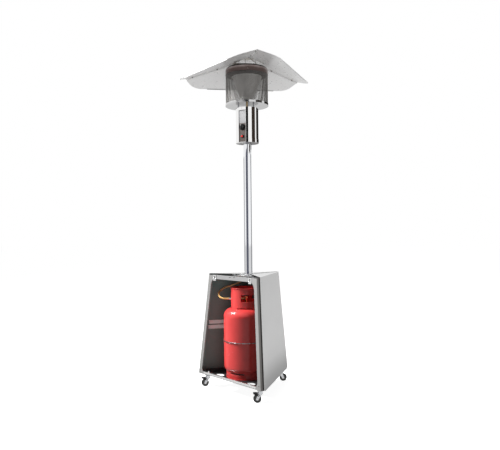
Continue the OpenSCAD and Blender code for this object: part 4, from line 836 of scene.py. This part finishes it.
def make_casters():
    race = [(0.0162, 0.0702), (0.0176, 0.0706), (0.0183, 0.0722), (0.0176, 0.0738),
            (0.0162, 0.0742)]
    race_up = Matrix.Translation((0, 0, 0.0015))
    crown = [(0.0125, 0.0565), (0.0148, 0.0568), (0.0158, 0.0590), (0.0158, 0.0620),
             (0.0125, 0.0640)]
    for which, corner in CORNERS.items():
        m = Matrix.Translation(polar(CASTER_RING, corner)) @ turned(TRAILS[which])
        make_wheel(which, m)
        ring = Shape().spin(race, m @ race_up)
        ring.made(f"race_ring_{which}", MATS["zinc"], slot="zinc")
        ring = Shape().spin(crown, m)
        ring.made(f"crown_ring_{which}", MATS["zinc"], body=f"caster_fork_{which}", slot="zinc")
        if which != "back":
            make_pedal_ribs(which, m)


make_casters()


# Knob, igniter and control panel details
def head_matrix(z, out):
    """On the control panel: z runs out of it."""
    d = polar(1, HEAD_TURN - 90)
    return place(d * out + UP * z, d, UP)


def knob_flutes(a, z):
    return -0.035 * max(0.0, math.cos(18 * a)) ** 2


def make_knob():
    bore = 0.0041
    m = head_matrix(HOUSE_Z + KNOB_UP, PANEL_OUT + KNOB_TRAVEL + 0.0006)
    knob = Shape()
    knob.spin([(bore, 0.0), (0.0192, 0.0), (0.0200, 0.0008), (0.0200, 0.0048), (0.0190, 0.0066),
               (0.0163, 0.0072), (bore, 0.0072)], m, 96)
    knob.spin([(bore, 0.0070), (0.0160, 0.0070), (0.0157, 0.0152), (0.0148, 0.0168),
               (bore, 0.0170)], m, 216, wave=knob_flutes)
    knob.box((0.0312, 0.0074, 0.0126), m @ Matrix.Translation((0, 0, 0.0137)), 0.0012)
    knob.made("knob", MATS["black_plastic"], body="control_knob", slot="black_plastic",
              hides=("control_knob",))
    mark_at = m @ Matrix.Translation((0.0095, 0, 0.0201))
    mark = Shape().box((0.0100, 0.0012, 0.0005), mark_at, 0.0001)
    mark.made("knob_pointer", POINTER, body="control_knob", slot="black_plastic")


def make_dial():
    """Thin ring round the knob, wide enough for it to be pushed in, with ten ticks."""
    inner, tick_size, tick_r = 0.0204, (0.0022, 0.0007, 0.0004), 0.0229
    base = head_matrix(HOUSE_Z + KNOB_UP, PANEL_OUT + 0.0001)
    plate = Shape()
    plate.spin([(inner, 0.0), (0.0217, 0.0), (0.0218, 0.0004), (0.0215, 0.0009), (inner, 0.0009)],
               base, 96)
    for a in range(-135, 136, 30):
        plate.box(tick_size, base @ turned(a) @ Matrix.Translation((tick_r, 0, 0)), 0.0001)
    plate.made("knob_dial", MATS["black_plastic"], slot="black_plastic")


def make_igniter():
    ig = head_matrix(HOUSE_Z + IGNITER_UP, PANEL_OUT + 0.003)
    bezel = Shape().spin([(0.0073, -0.001), (0.0073, 0.0004), (0.0079, 0.0010), (0.0096, 0.0010),
                          (0.0116, 0.0001), (0.0120, -0.001)], ig, 72)
    bezel.made("igniter_bezel", MATS["black_plastic"], slot="black_plastic")
    dome = Shape().lathe([(0.0069, 0.0066), (0.0069, 0.0072), (0.0062, 0.0078), (0.0040, 0.0081),
                          (0.0008, 0.0082)], ig, 48)
    dome.made("igniter_dome", MATS["red_plastic"], body="igniter_button", slot="red_plastic")


def make_window_edges():
    """Bright folds down both sides of the control housing's window."""
    s = Shape()
    for side in (-1, 1):
        a = HEAD_TURN - 90 + side * WINDOW_HALF
        s.tube([polar(HOUSE_R - 0.0006, a, HOUSE_Z + up) for up in (0.0025, 0.2105)], 0.0009)
    s.made("window_edges", MATS["polished_stainless"], slot="polished_stainless")


make_knob()
make_dial()
make_igniter()
make_window_edges()


# Valve handwheel and regulator
def wheel_lobes(a, z):
    return 0.075 * math.cos(6 * a)


def make_handwheel():
    bore = 0.0041
    m = place(CYL + UP * (OUTLET_Z + 0.020))
    wheel = Shape()
    wheel.spin([(bore, 0.0), (0.0225, 0.0), (0.0248, 0.0014), (0.0250, 0.0130), (0.0235, 0.0150),
                (0.0160, 0.0155), (0.0130, 0.0175), (bore, 0.0178)], m, 144, wave=wheel_lobes)
    wheel.made("handwheel", MATS["black_plastic"], body="valve_handwheel", slot="black_plastic",
               hides=("valve_handwheel",))
    cap = Shape()
    cap.lathe([(bore, 0.0152), (0.0060, 0.0156), (0.0060, 0.0178), (0.0040, 0.0180)], m, 32)
    cap.made("handwheel_cap", MATS["zinc"], body="valve_handwheel", slot="zinc")


def outlet_matrix(out):
    """On the line of the cylinder valve's outlet, z along it, out from the cylinder's axis."""
    d = polar(1, OUTLET_DIR)
    return place(CYL + d * out + UP * OUTLET_Z, d, UP)


def make_regulator():
    """Union nut, inlet stem and a round diaphragm housing with six screws."""
    nut = [(0.0082, 0.0), (0.0118, 0.0), (0.0128, 0.001),
           (0.0128, 0.011), (0.0118, 0.012), (0.0082, 0.012)]
    stem = [(0.0080, 0.0), (0.0080, 0.012), (0.0066, 0.016),
            (0.0066, 0.030), (0.0092, 0.034), (0.0092, 0.050)]
    housing = [(0.0150, 0.0), (0.0210, 0.0012), (0.0222, 0.0060), (0.0226, 0.0105),
               (0.0258, 0.0112), (0.0260, 0.0124), (0.0260, 0.0140), (0.0257, 0.0152),
               (0.0232, 0.0160), (0.0226, 0.0210), (0.0200, 0.0252), (0.0160, 0.0262),
               (0.0158, 0.0330), (0.0148, 0.0348), (0.0060, 0.0352)]
    screw = [(0.0021, 0.0), (0.0021, 0.0014), (0.0015, 0.0020)]
    housing_out, housing_down, screw_r = 0.0642, 0.013, 0.0238
    centre = CYL + polar(1, OUTLET_DIR) * housing_out
    reg = Shape()
    reg.spin(nut, outlet_matrix(0.0302), 6)
    reg.lathe(stem, outlet_matrix(0.0402), 40)
    reg.lathe(housing, place(centre + UP * (OUTLET_Z - housing_down)), 80)
    for k in range(6):
        reg.lathe(screw, place(centre + polar(screw_r, 60 * k + 30, OUTLET_Z + 0.0030)), 12)
    reg.made("regulator_body", MATS["zinc"], slot="zinc", hides=("regulator",))


def make_ferrule():
    ribs = [(0.0074, 0.0), (0.0078, 0.0006)]
    for k in range(5):
        z = 0.002 + 0.004 * k
        ribs += [(0.0078, z), (0.0069, z + 0.001), (0.0069, z + 0.0022), (0.0078, z + 0.0032)]
    ribs += [(0.0078, 0.0232), (0.0072, 0.0238), (0.0058, 0.0238)]
    s = Shape().lathe(ribs, outlet_matrix(0.090), 48)
    s.made("hose_ferrule", MATS["zinc"], slot="zinc")


make_handwheel()
make_regulator()
make_ferrule()


# Weld bead, rolled edges of the hand holes and a bead of the foot ring
def make_cylinder_details():
    axis = Matrix.Translation(CYL)
    s = Shape()
    z = CYL_Z + 0.208
    s.spin([(CYL_R - 0.0004, z - 0.0032), (CYL_R + 0.0001, z - 0.0022), (CYL_R + 0.00018, z),
            (CYL_R + 0.0001, z + 0.0022), (CYL_R - 0.0004, z + 0.0032)], axis, 128)
    r, bead_r = COLLAR_R - 0.00125, 0.0019
    z0 = CYL_TOP + HAND_UP
    z1 = z0 + HAND_H
    for k in range(3):
        a0 = HAND_FROM + 120 * k - HAND_ANGLE / 2
        a1 = a0 + HAND_ANGLE
        ring = [CYL + polar(r, a0 + (a1 - a0) * i / 16, z0) for i in range(17)]
        ring += [CYL + polar(r, a1, z0 + (z1 - z0) * i / 6) for i in range(1, 6)]
        ring += [CYL + polar(r, a1 - (a1 - a0) * i / 16, z1) for i in range(17)]
        ring += [CYL + polar(r, a0, z1 - (z1 - z0) * i / 6) for i in range(1, 6)]
        s.tube(ring, bead_r, closed=True)
    s.spin([(0.1328, 0.0905), (0.1345, 0.0908), (0.1352, 0.0925), (0.1345, 0.0942),
            (0.1328, 0.0945)], axis, 128)
    s.made("cylinder_beads", MATS["red_enamel"], slot="red_enamel")


make_cylinder_details()


# Folded edges of the cabinet's sheets
def make_panel_folds(name, phi):
    cut = CUT + SHEET / math.cos(math.radians(30)) + 0.0002
    s = Shape()
    heights = [0.001 + (FACE_LEN - 0.002) * i / 8 for i in range(9)]
    for side in (-1, 1):
        s.tube([face_pt(phi, side * (half_at(y) - cut - 0.0005), y, -0.0006) for y in heights],
               0.00085)
    top = half_at(FACE_LEN) - cut - 0.001
    s.tube([face_pt(phi, x, FACE_LEN - 0.0006, -0.0007) for x in (-top, top)], 0.0009)
    foot = half_at(0) - cut - 0.015
    s.tube([face_pt(phi, x, -0.006, -0.0006) for x in (-foot, foot)], 0.0009)
    s.made(f"panel_folds_{name}", MATS["bright_steel"], slot="bright_steel")


def make_front_folds():
    heights = [0.002 + (0.600 - 0.002) * i / 12 for i in range(13)]
    inset = CUT + POST_W - 0.0006
    s = Shape()
    for side in (-1, 1):
        s.tube([face_pt(FRONT, side * (half_at(y) - inset), y, -0.0006) for y in heights], 0.0010)
    s.made("post_folds", MATS["bright_steel"], slot="bright_steel")
    rail_half = 0.268
    y, z = -(INR_LOW - RAIL_H * math.tan(FACE_TILT) - 0.0014), CAB_Z + RAIL_H - 0.0007
    s = Shape().tube([(-rail_half, y, z), (rail_half, y, z)], 0.0012)
    s.made("rail_fold", MATS["bright_steel"], slot="bright_steel")


def make_slot_edges():
    """Dark edging round the slots of the two hook plates."""
    y, proud, wire = 0.6568, 0.0015, 0.0009
    r, run = HOOK_SLOT_W / 2 + wire, (HOOK_SLOT_H - HOOK_SLOT_W) / 2
    loop = []
    for k in range(16):
        a = TAU * k / 16
        loop.append((r * math.cos(a), r * math.sin(a) + (run if k <= 8 else -run)))
    s = Shape()
    for side in (-1, 1):
        points = [face_pt(FRONT, side * HOOK_X + a, y + b, proud) for a, b in loop]
        s.tube(points, wire, closed=True)
    s.made("hook_slot_edges", MATS["black_plastic"], slot="black_plastic")


make_panel_folds("left", LEFT_SIDE)
make_panel_folds("right", RIGHT_SIDE)
make_front_folds()
make_slot_edges()


# Stage
def stage_sheet(name, verts, faces, albedo, glow, camera=True, glossy=True, shadow=True,
                diffuse=True):
    """A matt sheet that isn't part of the object. The flags say which rays meet it."""
    mesh = bpy.data.meshes.new(name)
    mesh.from_pydata(verts, [], faces)
    o = link_object(name, mesh)
    mat = bpy.data.materials.new(name)
    mat.use_nodes = True
    b = mat.node_tree.nodes["Principled BSDF"]
    b.inputs["Base Color"].default_value = (albedo, albedo, albedo, 1)
    b.inputs["Roughness"].default_value = 0.9
    b.inputs["Specular IOR Level"].default_value = 0.0
    b.inputs["Emission Color"].default_value = (*glow, 1)
    b.inputs["Emission Strength"].default_value = 1.0
    o.data.materials.append(mat)
    o.visible_camera, o.visible_glossy = camera, glossy
    o.visible_shadow, o.visible_diffuse = shadow, diffuse


def flat_sheet(name, x0, y0, x1, y1, z, albedo, grey, **flags):
    verts = [(x0, y0, z), (x1, y0, z), (x1, y1, z), (x0, y1, z)]
    stage_sheet(name, verts, [(0, 1, 2, 3)], albedo, (grey, grey, grey), **flags)


def make_room(n=24, r=42, z0=-1.0, z1=40.0):
    """A white room that the camera and the shiny parts see."""
    verts = [polar(r, 360 / n * k, z) for z in (z0, z1) for k in range(n)]
    walls = [(k, (k + 1) % n, n + (k + 1) % n, n + k) for k in range(n)]
    ceiling = tuple(range(n, 2 * n))
    stage_sheet("room", verts, walls + [ceiling], 0.0, (1.0, 1.0, 1.0), shadow=False, diffuse=False)


def card(name, a, b, z0, z1, colour):
    """A dark upright card that only reflections see, as the gaps between a studio's soft boxes."""
    dist = 5.2
    p, q = polar(dist, a), polar(dist, b)
    verts = [(p.x, p.y, z0), (q.x, q.y, z0), (q.x, q.y, z1), (p.x, p.y, z1)]
    stage_sheet(name, verts, [(0, 1, 2, 3)], 0.0, colour, camera=False, shadow=False, diffuse=False)


def area(name, at, power, glossy):
    """A square lamp that is turned to the middle of the cabinet."""
    target, side = (0, 0, 0.45), 1.1
    data = bpy.data.lights.new(name, "AREA")
    data.shape = "RECTANGLE"
    data.size = data.size_y = side
    data.energy = power
    o = link_object(name, data)
    o.matrix_world = place(at, Vector(at) - Vector(target))
    o.visible_glossy = glossy


# The pale floor that the camera sees, its glow on the object from below, and a patch in front of
# the right panel that takes that glow away
FLOOR = (-30, -30, 30, 30)
flat_sheet("floor", *FLOOR, 0, 0.50, 0.925, glossy=False, diffuse=False)
flat_sheet("floor_glow", *FLOOR, -0.01, 0.0, 0.74, camera=False, shadow=False)
flat_sheet("floor_shade", 0.1, -1.4, 1.0, -0.22, -0.005, 0.0, 0.0, camera=False, glossy=False,
           shadow=False)
make_room()

# Cards: from and to azimuth, from and to height, colour
card("card_low", -93, -33, 0.0, 2.25, (0.12, 0.125, 0.16))
card("card_mid_a", -100, -54, 2.99, 3.2, (0.004, 0.004, 0.004))
card("card_mid_b", -54, -32, 2.25, 3.2, (0.004, 0.004, 0.004))
card("card_right", 4, 42, 2.25, 3.2, (0.035, 0.026, 0.020))
card("card_far_right", 61, 118, 2.25, 3.2, (0.02, 0.018, 0.016))
card("card_far_low", 56, 84, 0.0, 2.25, (0.14, 0.14, 0.145))
card("card_back_a", 165, 190, 0.0, 2.2, (0.42, 0.42, 0.43))
card("card_back_b", 190, 215, 0.0, 2.2, (0.42, 0.42, 0.43))

# One lamp that reflections don't see, and a weaker one just behind it that they do
area("key", (-2.2, -2.0, 3.4), 275, glossy=False)
area("key_sheen", (-2.21, -2.01, 3.41), 150, glossy=True)

world = bpy.data.worlds.new("studio")
world.use_nodes = True
sky = world.node_tree.nodes["Background"]
sky.inputs["Color"].default_value = (1.0, 1.0, 1.0, 1)
sky.inputs["Strength"].default_value = 0.15
bpy.context.scene.world = world
bpy.context.scene.view_settings.view_transform = "Standard"
